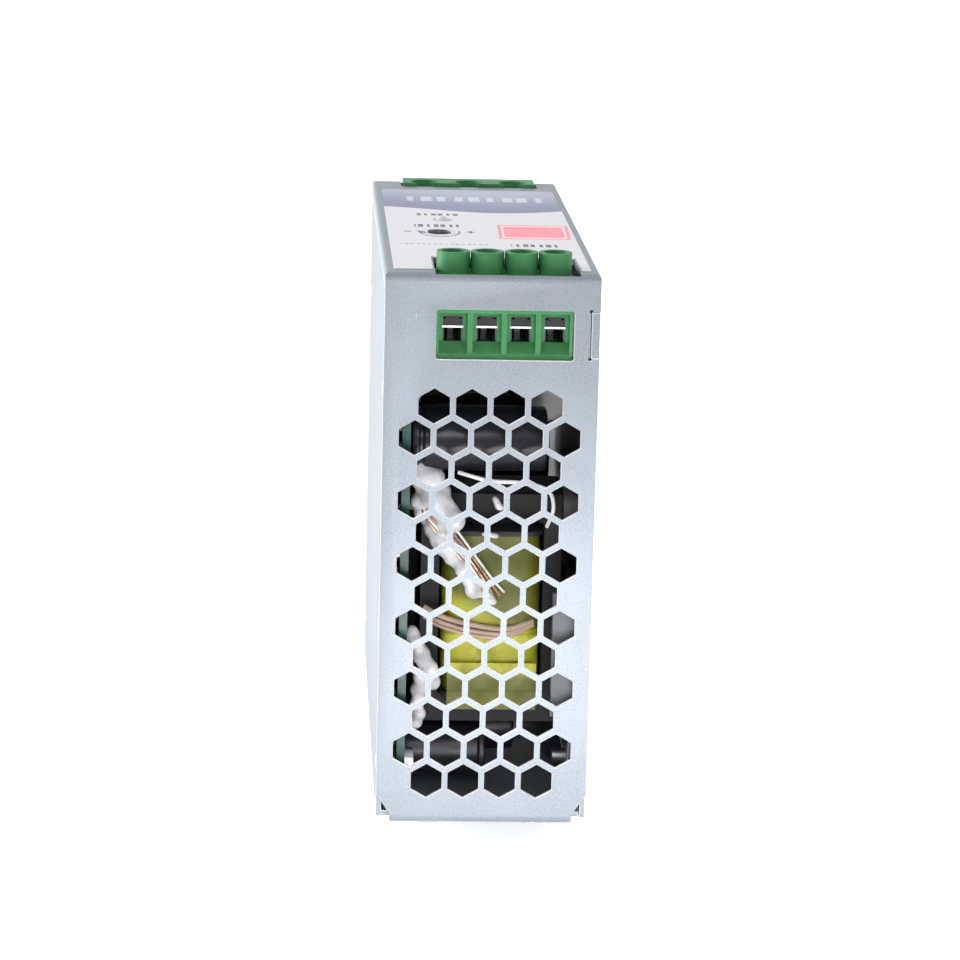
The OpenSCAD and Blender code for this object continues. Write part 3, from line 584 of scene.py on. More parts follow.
def finish(name):
    """The finish of that name, made once."""
    makers = {
        "sheet": sheet_finish, "glowing_cut_edge": glowing_edge_finish, "label": label_finish, "board": board_finish,
        "cover": cover_finish, "tape": tape_finish, "ferrite": ferrite_finish, "silicone": silicone_finish,
        "sleeve": sleeve_finish, "film": film_sheet_finish, "lens": lens_finish, "glass": glass_finish,
        "floor": floor_finish, "card": card_finish,
        "green": lambda: plastic_finish(
            "terminal_green", tuple(bpy.context.scene.supply_terminals.plastic), 0.40, lift=1.35),
        "lead": lambda: wire_finish("copper_lead", (0.42, 0.25, 0.18)),
        "copper": lambda: wire_finish("enamelled_wire"),
    }
    if name not in FINISHES:
        if name in PLASTICS:
            FINISHES[name] = plastic_finish(*PLASTICS[name])
        elif name in METALS:
            FINISHES[name] = plated_finish(*METALS[name])
        else:
            FINISHES[name] = makers[name]()
    return FINISHES[name]


# ---- making and finishing pieces ----

def smooth_by_angle(mesh, angle=35):
    mesh.polygons.foreach_set("use_smooth", [True] * len(mesh.polygons))
    mesh.set_sharp_from_angle(angle=math.radians(angle))
    mesh.update()


def new_object(name, mesh, finishes):
    piece = bpy.data.objects.new(name, mesh)
    bpy.context.scene.collection.objects.link(piece)
    for each in finishes:
        piece.data.materials.append(finish(each))
    return piece


def settle(piece, body=BODY, replaces=()):
    """Smooths a finished piece, puts it on its body and hides the nodes that it stands for."""
    smooth_by_angle(piece.data)
    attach(piece, body)
    if replaces:
        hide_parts(*replaces)
    return piece


def applied(piece):
    """The piece with its modifiers turned into plain mesh."""
    bpy.context.view_layer.update()
    ready = piece.evaluated_get(bpy.context.evaluated_depsgraph_get())
    mesh = bpy.data.meshes.new_from_object(ready)
    old = piece.data
    piece.modifiers.clear()
    piece.data = mesh
    bpy.data.meshes.remove(old)
    return piece


def cad_copy(node, join):
    """A merged copy of a CAD node, with flat faces joined if join is true."""
    source = bmesh.new()
    source.from_mesh(NODES[node].data)
    bmesh.ops.remove_doubles(source, verts=source.verts, dist=1e-6)
    if join:
        bmesh.ops.dissolve_limit(
            source, angle_limit=math.radians(0.6), use_dissolve_boundaries=False,
            verts=source.verts, edges=source.edges, delimit={"NORMAL"})
    for face in source.faces:
        face.material_index = 0
    return source


def rounded_copy(name, node, width, finishes, segments=2, edge_slot=0, paint=None, join=True):
    """A CAD node as a piece with softened edges; paint(face) may give a face another finish."""
    source = cad_copy(node, join)
    if paint:
        for face in source.faces:
            face.material_index = paint(face)
    mesh = bpy.data.meshes.new(name)
    source.to_mesh(mesh)
    source.free()
    piece = new_object(name, mesh, finishes)
    bevel = piece.modifiers.new("edges", "BEVEL")
    bevel.width = width
    bevel.segments = segments
    bevel.limit_method = "ANGLE"
    bevel.angle_limit = math.radians(40)
    bevel.material = edge_slot if edge_slot else -1
    bevel.use_clamp_overlap = True
    applied(piece)
    smooth_by_angle(piece.data)
    shade = piece.modifiers.new("shade", "WEIGHTED_NORMAL")
    shade.mode = "FACE_AREA"
    shade.keep_sharp = True
    return applied(piece)


def rounded_pieces(*rows):
    """Settles a softened copy for each row: node, piece, edge in mm, segments, finish, slot."""
    for node, name, edge, segments, look, slot in rows:
        settle(rounded_copy(name, node, edge * MM, [look], segments), replaces=[node])


def solids(node):
    """Boxes (low, high) of a node's separate solids, in metres, in a steady order."""
    source = bmesh.new()
    source.from_mesh(NODES[node].data)
    bmesh.ops.remove_doubles(source, verts=source.verts, dist=1e-6)
    source.verts.ensure_lookup_table()
    seen, boxes = set(), []
    for start in source.verts:
        if start.index in seen:
            continue
        seen.add(start.index)
        island, queue = [], [start]
        while queue:
            vert = queue.pop()
            island.append(vert.co.copy())
            for edge in vert.link_edges:
                other = edge.other_vert(vert)
                if other.index not in seen:
                    seen.add(other.index)
                    queue.append(other)
        low = Vector([min(co[k] for co in island) for k in range(3)])
        high = Vector([max(co[k] for co in island) for k in range(3)])
        boxes.append((low, high))
    source.free()
    return sorted(boxes, key=lambda box: tuple(round(c, 5) for c in box[0]))


def mesh_from(name, build):
    """A mesh that build(bm) fills, in metres."""
    bm = bmesh.new()
    build(bm)
    mesh = bpy.data.meshes.new(name)
    bm.to_mesh(mesh)
    bm.free()
    return mesh


def lathe(bm, profile, centre, along, sides=40, slots=None):
    """Turns (distance along, radius) points, in mm, round the line from centre in direction along.

    slots gives the finish index of each stretch between two points."""
    along = Vector(along).normalized()
    across = along.orthogonal().normalized()
    up = along.cross(across)
    rings = []
    for distance, radius in profile:
        middle = Vector(centre) + along * distance * MM
        if radius < 1e-6:
            rings.append([bm.verts.new(middle)])
            continue
        turn = [2 * math.pi * k / sides for k in range(sides)]
        rings.append([bm.verts.new(middle + (across * math.cos(a) + up * math.sin(a)) * radius * MM)
                      for a in turn])
    for index, (ring, following) in enumerate(zip(rings, rings[1:])):
        slot = slots[index] if slots else 0
        for k in range(sides):
            n = (k + 1) % sides
            if len(ring) == 1:
                corners = (ring[0], following[n], following[k])
            elif len(following) == 1:
                corners = (ring[k], ring[n], following[0])
            else:
                corners = (ring[k], ring[n], following[n], following[k])
            bm.faces.new(corners).material_index = slot
    return rings


def add_box(bm, low, high, slot=0):
    """A box between two corners, in mm."""
    made = bmesh.ops.create_cube(bm, size=1.0)["verts"]
    size = [(b - a) * MM for a, b in zip(low, high)]
    middle = [(a + b) / 2 * MM for a, b in zip(low, high)]
    for vert in made:
        vert.co = Vector([c * s + m for c, s, m in zip(vert.co, size, middle)])
    for face in {face for vert in made for face in vert.link_faces}:
        face.material_index = slot


def tube(bm, rings, slot=0):
    """Faces between equal rings of points, with both ends closed."""
    for ring, following in zip(rings, rings[1:]):
        for k in range(len(ring)):
            n = (k + 1) % len(ring)
            bm.faces.new((ring[k], ring[n], following[n], following[k])).material_index = slot
    for end in (list(reversed(rings[0])), rings[-1]):
        bm.faces.new(end).material_index = slot


def sweep(bm, points, radius, sides=8, slot=0, smooth_steps=6):
    """A round wire through points in mm, with closed ends."""
    path = smooth_path([Vector(p) * MM for p in points], smooth_steps)
    rings = []
    across = (path[1] - path[0]).orthogonal().normalized()
    for index, point in enumerate(path):
        before = path[max(index - 1, 0)]
        after = path[min(index + 1, len(path) - 1)]
        ahead = (after - before).normalized()
        across = (across - ahead * across.dot(ahead)).normalized()
        up = ahead.cross(across)
        rings.append([bm.verts.new(point + (across * math.cos(a) + up * math.sin(a)) * radius * MM)
                      for a in [2 * math.pi * k / sides for k in range(sides)]])
    tube(bm, rings, slot)


def smooth_path(points, steps):
    """Catmull-Rom curve through the points."""
    if len(points) < 3:
        return points
    ends = [points[0] * 2 - points[1]] + points + [points[-1] * 2 - points[-2]]
    path = []
    for a, b, c, d in zip(ends, ends[1:], ends[2:], ends[3:]):
        for step in range(steps):
            t = step / steps
            path.append(0.5 * ((2 * b) + (c - a) * t + (2 * a - 5 * b + 4 * c - d) * t * t
                               + (3 * b - a - 3 * c + d) * t ** 3))
    path.append(points[-1])
    return path


# ---- geometry node trees ----

class Rule(Tree):
    """A Geometry Nodes tree with named inputs, ending in Realize Instances and Set Material."""

    def __init__(self, name, inputs):
        group = bpy.data.node_groups.new(name, "GeometryNodeTree")
        super().__init__(group)
        self.named = {}
        for label, (kind, value) in inputs.items():
            socket = group.interface.new_socket(label, in_out="INPUT", socket_type=kind)
            socket.default_value = value
            self.named[label] = socket
        group.interface.new_socket("Geometry", in_out="OUTPUT", socket_type="NodeSocketGeometry")
        self.entry = group.nodes.new("NodeGroupInput")
        self.exit = group.nodes.new("NodeGroupOutput")

    def given(self, label):
        return Value(self, self.entry.outputs[label])

    def close(self, geometry, material):
        real = self.node("GeometryNodeRealizeInstances", None, {0: geometry})
        done = self.node("GeometryNodeSetMaterial", None, {0: real, "Material": material})
        self.tree.links.new(done.socket, self.exit.inputs[0])

    def run(self, name, values):
        """A plain mesh piece made by the tree with these input values."""
        piece = bpy.data.objects.new(name, bpy.data.meshes.new(name))
        bpy.context.scene.collection.objects.link(piece)
        modifier = piece.modifiers.new("rule", "NODES")
        modifier.node_group = self.tree
        for label, value in values.items():
            modifier[self.named[label].identifier] = value
        return applied(piece)


def coil_rule():
    """A helix of wire about its own Z axis, moved to a start point and turned along +Y."""
    rule = Rule("coil_of_wire", {
        "Turns": ("NodeSocketFloat", 6.0), "Radius": ("NodeSocketFloat", 0.001),
        "Length": ("NodeSocketFloat", 0.01), "Wire": ("NodeSocketFloat", 0.0002),
        "Start": ("NodeSocketVector", (0, 0, 0))})
    helix = rule.node("GeometryNodeCurveSpiral", None, {
        "Resolution": 24, "Rotations": rule.given("Turns"), "Start Radius": rule.given("Radius"),
        "End Radius": rule.given("Radius"), "Height": rule.given("Length")})
    section = rule.node("GeometryNodeCurvePrimitiveCircle", None, {
        "Resolution": 10, "Radius": rule.given("Wire")})
    wire = rule.node("GeometryNodeCurveToMesh", None, {
        "Curve": helix, "Profile Curve": section, "Fill Caps": True})
    placed = rule.node("GeometryNodeTransform", None, {
        "Geometry": wire, "Translation": rule.given("Start"), "Rotation": (-math.pi / 2, 0, 0)})
    rule.close(placed, finish("spring"))
    return rule


def winding_rule():
    """Loops of wire set side by side round a ring core whose axis is X."""
    rule = Rule("ring_winding", {
        "Turns": ("NodeSocketInt", 30), "Ring radius": ("NodeSocketFloat", 0.01),
        "Loop width": ("NodeSocketFloat", 0.01), "Loop height": ("NodeSocketFloat", 0.007),
        "Wire": ("NodeSocketFloat", 0.0005), "Centre": ("NodeSocketVector", (0, 0, 0)),
        "Sweep": ("NodeSocketFloat", 5.6)})
    loop = rule.node("GeometryNodeCurvePrimitiveQuadrilateral", None, {
        "Width": rule.given("Loop width"), "Height": rule.given("Loop height")})
    rounded = rule.node("GeometryNodeFilletCurve", {"mode": "POLY"}, {
        "Curve": loop, "Radius": 0.0016, "Count": 4})
    section = rule.node("GeometryNodeCurvePrimitiveCircle", None, {
        "Resolution": 8, "Radius": rule.given("Wire")})
    turn = rule.node("GeometryNodeCurveToMesh", None, {"Curve": rounded, "Profile Curve": section})
    placed = rule.node("GeometryNodeTransform", None, {
        "Geometry": turn, "Rotation": (math.pi / 2, 0, 0),
        "Translation": rule.node("ShaderNodeCombineXYZ", None, {"Z": rule.given("Ring radius")})})
    line = rule.node("GeometryNodeMeshLine", {"mode": "OFFSET"}, {
        "Count": rule.given("Turns"), "Offset": (0, 0, 0)})
    index = rule.node("GeometryNodeInputIndex")
    angle = index / rule.given("Turns") * rule.given("Sweep") + 1.75
    spin = rule.node("ShaderNodeCombineXYZ", None, {"X": angle})
    rings = rule.node("GeometryNodeInstanceOnPoints", None, {
        "Points": line, "Instance": placed, "Rotation": spin})
    moved = rule.node("GeometryNodeTransform", None, {"Geometry": rings, "Translation": rule.given("Centre")})
    rule.close(moved, finish("copper"))
    return rule


def scatter_rule():
    """Small boxes on a jittered grid of the board's face, thinned by a fixed seed."""
    rule = Rule("small_parts", {
        "Rows": ("NodeSocketInt", 14), "Columns": ("NodeSocketInt", 12),
        "Size": ("NodeSocketVector", (0.001, 0.002, 0.0012)), "Extent": ("NodeSocketVector", (0.1, 0.09, 0)),
        "Centre": ("NodeSocketVector", (0, 0, 0)), "Keep": ("NodeSocketFloat", 0.4),
        "Seed": ("NodeSocketInt", 1), "Finish": ("NodeSocketMaterial", None)})
    quarter_turn = math.pi / 2
    extent = [rule.node("ShaderNodeSeparateXYZ", None, {0: rule.given("Extent")}, output=k) for k in range(2)]
    grid = rule.node("GeometryNodeMeshGrid", None, {
        "Size X": extent[0], "Size Y": extent[1],
        "Vertices X": rule.given("Columns"), "Vertices Y": rule.given("Rows")})
    shift = rule.node("FunctionNodeRandomValue", {"data_type": "FLOAT_VECTOR"}, {
        "Min": (-0.0016, -0.0016, 0), "Max": (0.0016, 0.0016, 0), "Seed": rule.given("Seed")})
    shaken = rule.node("GeometryNodeSetPosition", None, {"Geometry": grid, "Offset": shift})
    keep = rule.node("FunctionNodeRandomValue", {"data_type": "BOOLEAN"}, {
        "Probability": rule.given("Keep"), "Seed": rule.given("Seed") + 1}, output=3)
    part = rule.node("GeometryNodeMeshCube", None, {"Size": rule.given("Size")})
    turned = rule.node("FunctionNodeRandomValue", {"data_type": "INT"}, {
        4: 0, 5: 1, "Seed": rule.given("Seed") + 2}, output=2)
    spin = rule.node("ShaderNodeCombineXYZ", None, {"Z": turned * quarter_turn})
    parts = rule.node("GeometryNodeInstanceOnPoints", None, {
        "Points": shaken, "Selection": keep, "Instance": part, "Rotation": spin})
    stood = rule.node("GeometryNodeTransform", None, {
        "Geometry": parts, "Translation": rule.given("Centre"), "Rotation": (quarter_turn, 0, quarter_turn)})
    rule.close(stood, rule.given("Finish"))
    return rule


# ---- pieces with a shape of their own ----

def can(bm, foot, along, radius, height, crimped=True):
    """A sleeved can standing on foot, in mm: rolled edge, silver top sunk below it, groove near the foot."""
    low = [(0, 0), (0, radius - 0.8), (0.3, radius - 0.12), (0.7, radius)]
    groove = [(1.3, radius), (1.7, radius - 0.45), (2.1, radius - 0.45), (2.6, radius)] if crimped else []
    top = [(height - 0.75, radius), (height - 0.3, radius - 0.14), (height, radius - 0.55),
           (height - 0.02, radius - 1.0)]
    metal = [(height - 0.22, radius - 1.15), (height - 0.45, radius - 1.45), (height - 0.5, radius * 0.5),
             (height - 0.42, 0)]
    profile = low + groove + top + metal
    slots = [0] * (len(profile) - 1 - len(metal)) + [1] * len(metal)
    lathe(bm, profile, Vector(foot) * MM, along, 56, slots)


def wound_tape(bm, low, high, lift):
    """A wrapped winding: an upright tube whose rounded sides swell by lift, with stepped turns of tape."""
    middle = Vector([(a + b) / 2 for a, b in zip(low, high)])
    half_x, half_y = (high[0] - low[0]) / 2, (high[1] - low[1]) / 2
    steps, around = 26, 72
    rings = []
    for step in range(steps + 1):
        t = step / steps
        z = low[2] + (high[2] - low[2]) * t
        ripple = 0.10 * math.sin(t * 19.0) + 0.06 * math.sin(t * 43.0 + 1.0)
        swell = lift * (1 - (2 * t - 1) ** 4) + ripple - lift
        ring = []
        for k in range(around):
            a = 2 * math.pi * k / around
            x = rounded_square(math.cos(a), math.sin(a), half_x + swell, half_y + swell)
            ring.append(bm.verts.new(Vector((middle.x + x[0], middle.y + x[1], z)) * MM))
        rings.append(ring)
    tube(bm, rings)


def rounded_square(c, s, half_x, half_y):
    """The point of a rounded rectangle's outline in direction (c, s)."""
    power = 7.0
    reach = (abs(c / half_x) ** power + abs(s / half_y) ** power) ** (-1 / power)
    return c * reach, s * reach


def blob(name, lumps, finish_name, grain):
    """Cured silicone: balls of (x, y, z, radius) in mm melted into one skin."""
    def build(bm):
        for x, y, z, radius in lumps:
            ball = bmesh.ops.create_icosphere(bm, subdivisions=3, radius=radius * MM)["verts"]
            for vert in ball:
                vert.co += Vector((x, y, z)) * MM

    piece = new_object(name, mesh_from(name, build), [finish_name])
    skin = piece.modifiers.new("skin", "REMESH")
    skin.mode = "VOXEL"
    skin.voxel_size = grain * MM
    flow = piece.modifiers.new("flow", "SMOOTH")
    flow.factor = 0.8
    flow.iterations = 16
    applied(piece)
    piece.data.materials.clear()
    piece.data.materials.append(finish(finish_name))
    return piece


# ---- one operator to a piece or group ----

class PieceOperator:
    """What the operators share."""

    bl_options = {"REGISTER"}

    def execute(self, context):
        self.build(context)
        return {"FINISHED"}


class SUPPLY_OT_case(PieceOperator, bpy.types.Operator):
    """Folded sheet case: vented wrap, chassis, removable cover and their fixings"""

    bl_idname = "supply.case"
    bl_label = "Case"

    def build(self, context):
        width = context.scene.supply_case.edge
        sheet = 1.0
        shy = 0.02
        largest_cut = 60 * MM * MM

        def cut_wall(face):
            centre = face.calc_center_median() / MM
            in_end = HALF_L - sheet + shy < abs(centre.y) < HALF_L - shy and abs(face.normal.y) < 0.1
            return 1 if in_end and face.calc_area() < largest_cut else 0

        # the bevelled rims of the wrap, chassis and cover, and the cut walls of the end openings, take the
        # glowing edge finish, a painted highlight
        wrap = rounded_copy("vented_wrap", "front_wrap", width, ["sheet", "glowing_cut_edge"], 2, 1, cut_wall)
        settle(wrap, replaces=["front_wrap"])
        for node, name, main in (("chassis", "chassis_sheet", "sheet"),
                                 ("side_cover", "cover_plate", "cover")):
            piece = rounded_copy(name, node, width * 0.8, [main, "glowing_cut_edge"], 2, 1)
            settle(piece, replaces=[node])
        rounded_pieces(("cover_screws", "cover_screw_heads", 0.12, 2, "steel", "steel"),
                       ("lip_rivets", "lip_rivet_heads", 0.12, 2, "steel", "steel"))


class SUPPLY_OT_label(PieceOperator, bpy.types.Operator):
    """Printed label on the front panel"""

    bl_idname = "supply.label"
    bl_label = "Label"

    def build(self, context):
        rounded_pieces(("front_label", "printed_label", 0.04, 2, "label", "label_film"))


class SUPPLY_OT_terminals(PieceOperator, bpy.types.Operator):
    """Terminal housings, clamp cages, screws and contact tongues"""

    bl_idname = "supply.terminals"
    bl_label = "Terminals"

    def build(self, context):
        width = context.scene.supply_terminals.edge
        for end in ("output", "input"):
            housing = rounded_copy(end + "_block", end + "_housing", width, ["green"], 2, join=False)
            settle(housing, replaces=[end + "_housing"])
            tongues = rounded_copy(end + "_tongues", end + "_contacts", 0.1 * MM, ["tin"])
            settle(tongues, replaces=[end + "_contacts"])
        self.wire_guards()
        for node in sorted(NODES):
            # the clamp cages take the darkened nickel, painted shade of the terminal windows
            for kind, name, look in (("_screw_", "head", "nickel"), ("_clamp_", "cage", "dark_nickel")):
                if kind in node and node.split("_")[0] in ("output", "input"):
                    piece = rounded_copy(node + "_" + name, node, 0.09 * MM, [look])
                    settle(piece, node, [node])


    def wire_guards(self):
        """A pressed plate in front of each tongue, darkened as painted shade, with a lip above the wire's way
        in that glows as a painted highlight.
        """

        def build(bm, end, half):
            for low, high in solids(end + "_contacts"):
                middle = (low.x + high.x) / 2 / MM
                face = low.y / MM if end == "output" else high.y / MM
                out = -1 if end == "output" else 1
                lip = high.z / MM - 1.3
                near, far = sorted((face + out * 0.12, face + out * 0.42))
                add_box(bm, (middle - half + 0.1, near, lip), (middle + half - 0.1, far, lip + 1.5))
                add_box(bm, (middle - half * 0.62, near, lip + 1.45), (middle + half * 0.62, far, lip + 2.2))
                near, far = sorted((face + out * 0.12, face + out * 0.72))
                # slot 1 is the glowing edge finish: a painted highlight along the lip
                add_box(bm, (middle - half, near, lip - 0.12), (middle + half, far, lip + 0.22), 1)

        for end, half in (("output", 1.95), ("input", 2.8)):
            name = end + "_wire_guards"
            mesh = mesh_from(name, lambda bm, e=end, h=half: build(bm, e, h))
            guards = new_object(name, mesh, ["dull", "glowing_cut_edge"])
            settle(guards)


class SUPPLY_OT_boards(PieceOperator, bpy.types.Operator):
    """Circuit boards with their standoffs, screws, solder joints and small parts"""

    bl_idname = "supply.boards"
    bl_label = "Boards"

    def build(self, context):
        rounded_pieces(("main_board", "main_board_laminate", 0.06, 2, "board", "board"),
                       ("output_board", "output_board_laminate", 0.06, 2, "board", "board"),
                       ("input_board", "input_board_laminate", 0.06, 2, "board", "board"),
                       ("board_standoffs", "standoff_pillars", 0.12, 2, "brass", "brass"),
                       ("board_screws", "board_screw_heads", 0.1, 2, "steel", "steel"),
                       ("insulation_sheet", "insulating_film", 0.03, 2, "film", "insulation"),
                       ("control_chips", "chip_bodies", 0.12, 2, "black", "black_plastic"))
        self.small_parts(context)
        self.chip_legs()

    def small_parts(self, context):
        low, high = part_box("main_board")
        rule = scatter_rule()
        seed = context.scene.supply_inside.seed
        kinds = (("resistor_chips", "black", (0.0010, 0.0020, 0.0006), 13, 15, 0.34),
                 ("ceramic_chips", "beige", (0.0013, 0.0021, 0.0011), 11, 12, 0.30))
        for step, (name, look, size, columns, rows, keep) in enumerate(kinds):
            thick = size[2]
            piece = rule.run(name, {
                "Rows": rows, "Columns": columns, "Size": size,
                "Extent": (0.108, 0.090, 0), "Centre": (high.x + thick / 2, 0, (low.z + high.z) / 2),
                "Keep": keep, "Seed": seed + step * 10, "Finish": finish(look)})
            settle(piece)
        joints = rule.run("solder_joints", {
            "Rows": 20, "Columns": 24, "Size": (0.0012, 0.0012, 0.0007), "Extent": (0.110, 0.090, 0),
            "Centre": (low.x - 0.00035, 0, (low.z + high.z) / 2), "Keep": 0.45, "Seed": seed + 50,
            "Finish": finish("solder")})
        settle(joints)

    def chip_legs(self):
        leg_pitch = 1.27
        half_leg = 0.2
        board_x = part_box("main_board")[1].x / MM

        def build(bm):
            for low, high in solids("control_chips"):
                y0, y1 = low.y / MM, high.y / MM
                count = max(3, int((y1 - y0) / leg_pitch))
                for k in range(count):
                    y = y0 + (y1 - y0) * (k + 0.5) / count
                    for z, side in ((low.z / MM, -1), (high.z / MM, 1)):
                        outer = z + side * 0.9
                        add_box(bm, (board_x + 0.02, y - half_leg, min(z, outer)),
                                (board_x + 0.22, y + half_leg, max(z, outer)))
                        add_box(bm, (board_x + 0.02, y - half_leg, min(z, z + side * 0.25)),
                                (board_x + 1.2, y + half_leg, max(z, z + side * 0.25)))

        settle(new_object("chip_legs", mesh_from("chip_legs", build), ["tin"]))


class SUPPLY_OT_transformer(PieceOperator, bpy.types.Operator):
    """Transformer: ferrite core, taped winding, bobbin, leads, sleeves and bonding silicone"""

    bl_idname = "supply.transformer"
    bl_label = "Transformer"

    def build(self, context):
        low, high = (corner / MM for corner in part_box("transformer_winding"))
        self.low, self.high = low, high
        rounded_pieces(("transformer_core", "ferrite_core", 0.35, 3, "ferrite", "ferrite"),
                       ("transformer_bobbin", "bobbin_flanges", 0.2, 2, "black", "bobbin_plastic"))
        tape = mesh_from("taped_winding", lambda bm: wound_tape(bm, low, high, 0.35))
        settle(new_object("taped_winding", tape, ["tape"]), replaces=["transformer_winding"])
        self.leads()
        self.silicone()

    def leads(self):
        front = self.low.y

        def strands(bm, picks):
            for k in picks:
                out = front - 2.3 - 0.25 * (k % 3)
                path = [(-12.9, front + 2.5, 70.5), (-10.6, out + 0.4, 66.6), (-6.9, out, 62.6),
                        (-3.0, out, 58.0), (0.4, out + 0.6, 53.0), (2.2, front - 0.4, 49.8)]
                spread = (0.4, 0.9 + 0.2 * (k % 2), 1.3, 1.0, 1.2, 1.7)
                side = (k - 2) * 0.62
                sweep(bm, [(x + 0.78 * side * w, y, z + 0.62 * side * w)
                           for (x, y, z), w in zip(path, spread)], 0.24)

        def copper(bm):
            strands(bm, (0, 2, 3))

        def pale(bm):
            strands(bm, (1, 4))

        def sleeves(bm):
            out = front - 0.75
            for drop, radius in ((0, 0.5), (1.15, 0.42), (2.0, 0.36)):
                path = [(-11.2, front + 1.2, 47.6 - drop), (-7.8, out, 46.2 - drop),
                        (-1.5, out - 0.2, 44.6 - drop), (4.5, out - 0.1, 44.0 - drop * 0.8),
                        (9.6, front + 0.6, 45.2 - drop * 0.4)]
                sweep(bm, path, radius, 10)

        def sense_lead(bm):
            sweep(bm, [(-5.5, front - 1.5, 74.6), (0.5, front - 2.4, 73.2), (6.5, front - 2.5, 72.9),
                       (11.5, front - 1.9, 71.4), (12.8, front - 0.6, 67.6),
                       (11.8, front + 1.6, 63.5)], 0.38, 10)

        for name, look, slot, build in (("transformer_leads", "lead", "copper", copper),
                                        ("pale_leads", "white", "white_plastic", pale),
                                        ("lead_sleeves", "pink_sleeve", "white_plastic", sleeves),
                                        ("sense_lead", "white", "white_plastic", sense_lead)):
            settle(new_object(name, mesh_from(name, build), [look]))

        def flap(bm):
            low, high = self.low, self.high
            add_box(bm, (low.x + 1.2, front - 0.95, low.z - 3.2), (high.x - 0.8, front - 0.8, low.z + 6))

        settle(new_object("tape_flap", mesh_from("tape_flap", flap), ["tape"]))

    def silicone(self):
        front = self.low.y
        spread = random.Random(4)
        lumps = []

        def trail(start, end, count, radius, wander):
            for k in range(count):
                t = k / (count - 1)
                spot = [a + (b - a) * t + spread.uniform(-wander, wander) for a, b in zip(start, end)]
                lumps.append((*spot, radius * spread.uniform(0.8, 1.25)))

        trail((-12.0, front + 0.6, 74.5), (-7.0, front - 0.8, 64.0), 42, 1.9, 1.1)
        trail((-13.0, front + 1.5, 68.0), (-5.5, front - 1.0, 58.0), 36, 1.6, 1.1)
        trail((-9.5, front - 0.3, 63.0), (-1.4, front - 0.7, 51.8), 46, 1.3, 0.8)
        trail((-2.0, front - 0.7, 53.0), (1.8, front - 0.7, 49.2), 16, 0.85, 0.4)
        trail((-13.2, front + 1.5, 42.0), (-9.4, front + 0.2, 32.5), 26, 1.4, 0.8)
        trail((-11.2, front + 0.4, 34.5), (-13.2, front + 1.8, 24.0), 26, 1.2, 0.8)
        trail((-12.6, front + 2.5, 78.5), (-3.0, front + 3.0, 76.5), 22, 1.3, 1.0)
        trail((1.6, front - 1.2, 69.4), (2.8, front - 1.2, 67.6), 5, 0.8, 0.2)
        trail((-0.6, front - 0.7, 62.6), (2.0, front - 0.7, 62.0), 6, 0.6, 0.2)
        settle(blob("bonding_silicone", lumps, "silicone", 0.28))


class SUPPLY_OT_capacitors(PieceOperator, bpy.types.Operator):
    """Sleeved cans, film box and disc capacitors"""

    bl_idname = "supply.capacitors"
    bl_label = "Capacitors"

    def build(self, context):
        for node, name in (("bulk_capacitors", "bulk_cans"), ("output_capacitors", "output_cans")):
            mesh = mesh_from(name, lambda bm, node=node: self.cans(bm, node))
            settle(new_object(name, mesh, ["sleeve", "can"]), replaces=[node])
        rounded_pieces(("film_capacitor", "film_box", 0.5, 3, "yellow", "yellow_plastic"))
        discs = mesh_from("coated_discs", lambda bm: self.discs(bm, "disc_capacitors"))
        settle(new_object("coated_discs", discs, ["blue"]), replaces=["disc_capacitors"])
        for node, name, look, slot in (("varistor", "varistor_disc", "blue", "blue_plastic"),
                                       ("thermistor", "thermistor_disc", "black", "black_plastic")):
            mesh = mesh_from(name, lambda bm, node=node: self.discs(bm, node))
            settle(new_object(name, mesh, [look]), replaces=[node])

    def cans(self, bm, node):
        for low, high in solids(node):
            size = (high - low) / MM
            middle = (low + high) / 2 / MM
            if abs(size.x - size.z) < 0.1:
                can(bm, (middle.x, high.y / MM, middle.z), (0, -1, 0), size.x / 2, size.y, False)
            else:
                can(bm, (low.x / MM, middle.y, middle.z), (1, 0, 0), size.z / 2, size.x)

    def discs(self, bm, node):
        """Dipped discs with swollen middles and their legs towards the board."""
        board_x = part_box("main_board")[1].x / MM
        for low, high in solids(node):
            radius = (high.y - low.y) / 2 / MM
            height = (high.z - low.z) / MM
            middle = (low + high) / 2 / MM
            profile = [(0, 0), (0.05, radius * 0.5), (height * 0.12, radius * 0.82),
                       (height * 0.3, radius * 0.97), (height * 0.5, radius),
                       (height * 0.7, radius * 0.97), (height * 0.88, radius * 0.82),
                       (height - 0.05, radius * 0.5), (height, 0)]
            lathe(bm, profile, (middle.x * MM, middle.y * MM, low.z), (0, 0, 1), 40)
            for side in (-0.5, 0.5):
                sweep(bm, [(middle.x - radius * 0.8, middle.y + side * radius, middle.z),
                           (board_x, middle.y + side * radius, middle.z)], 0.3, 8)


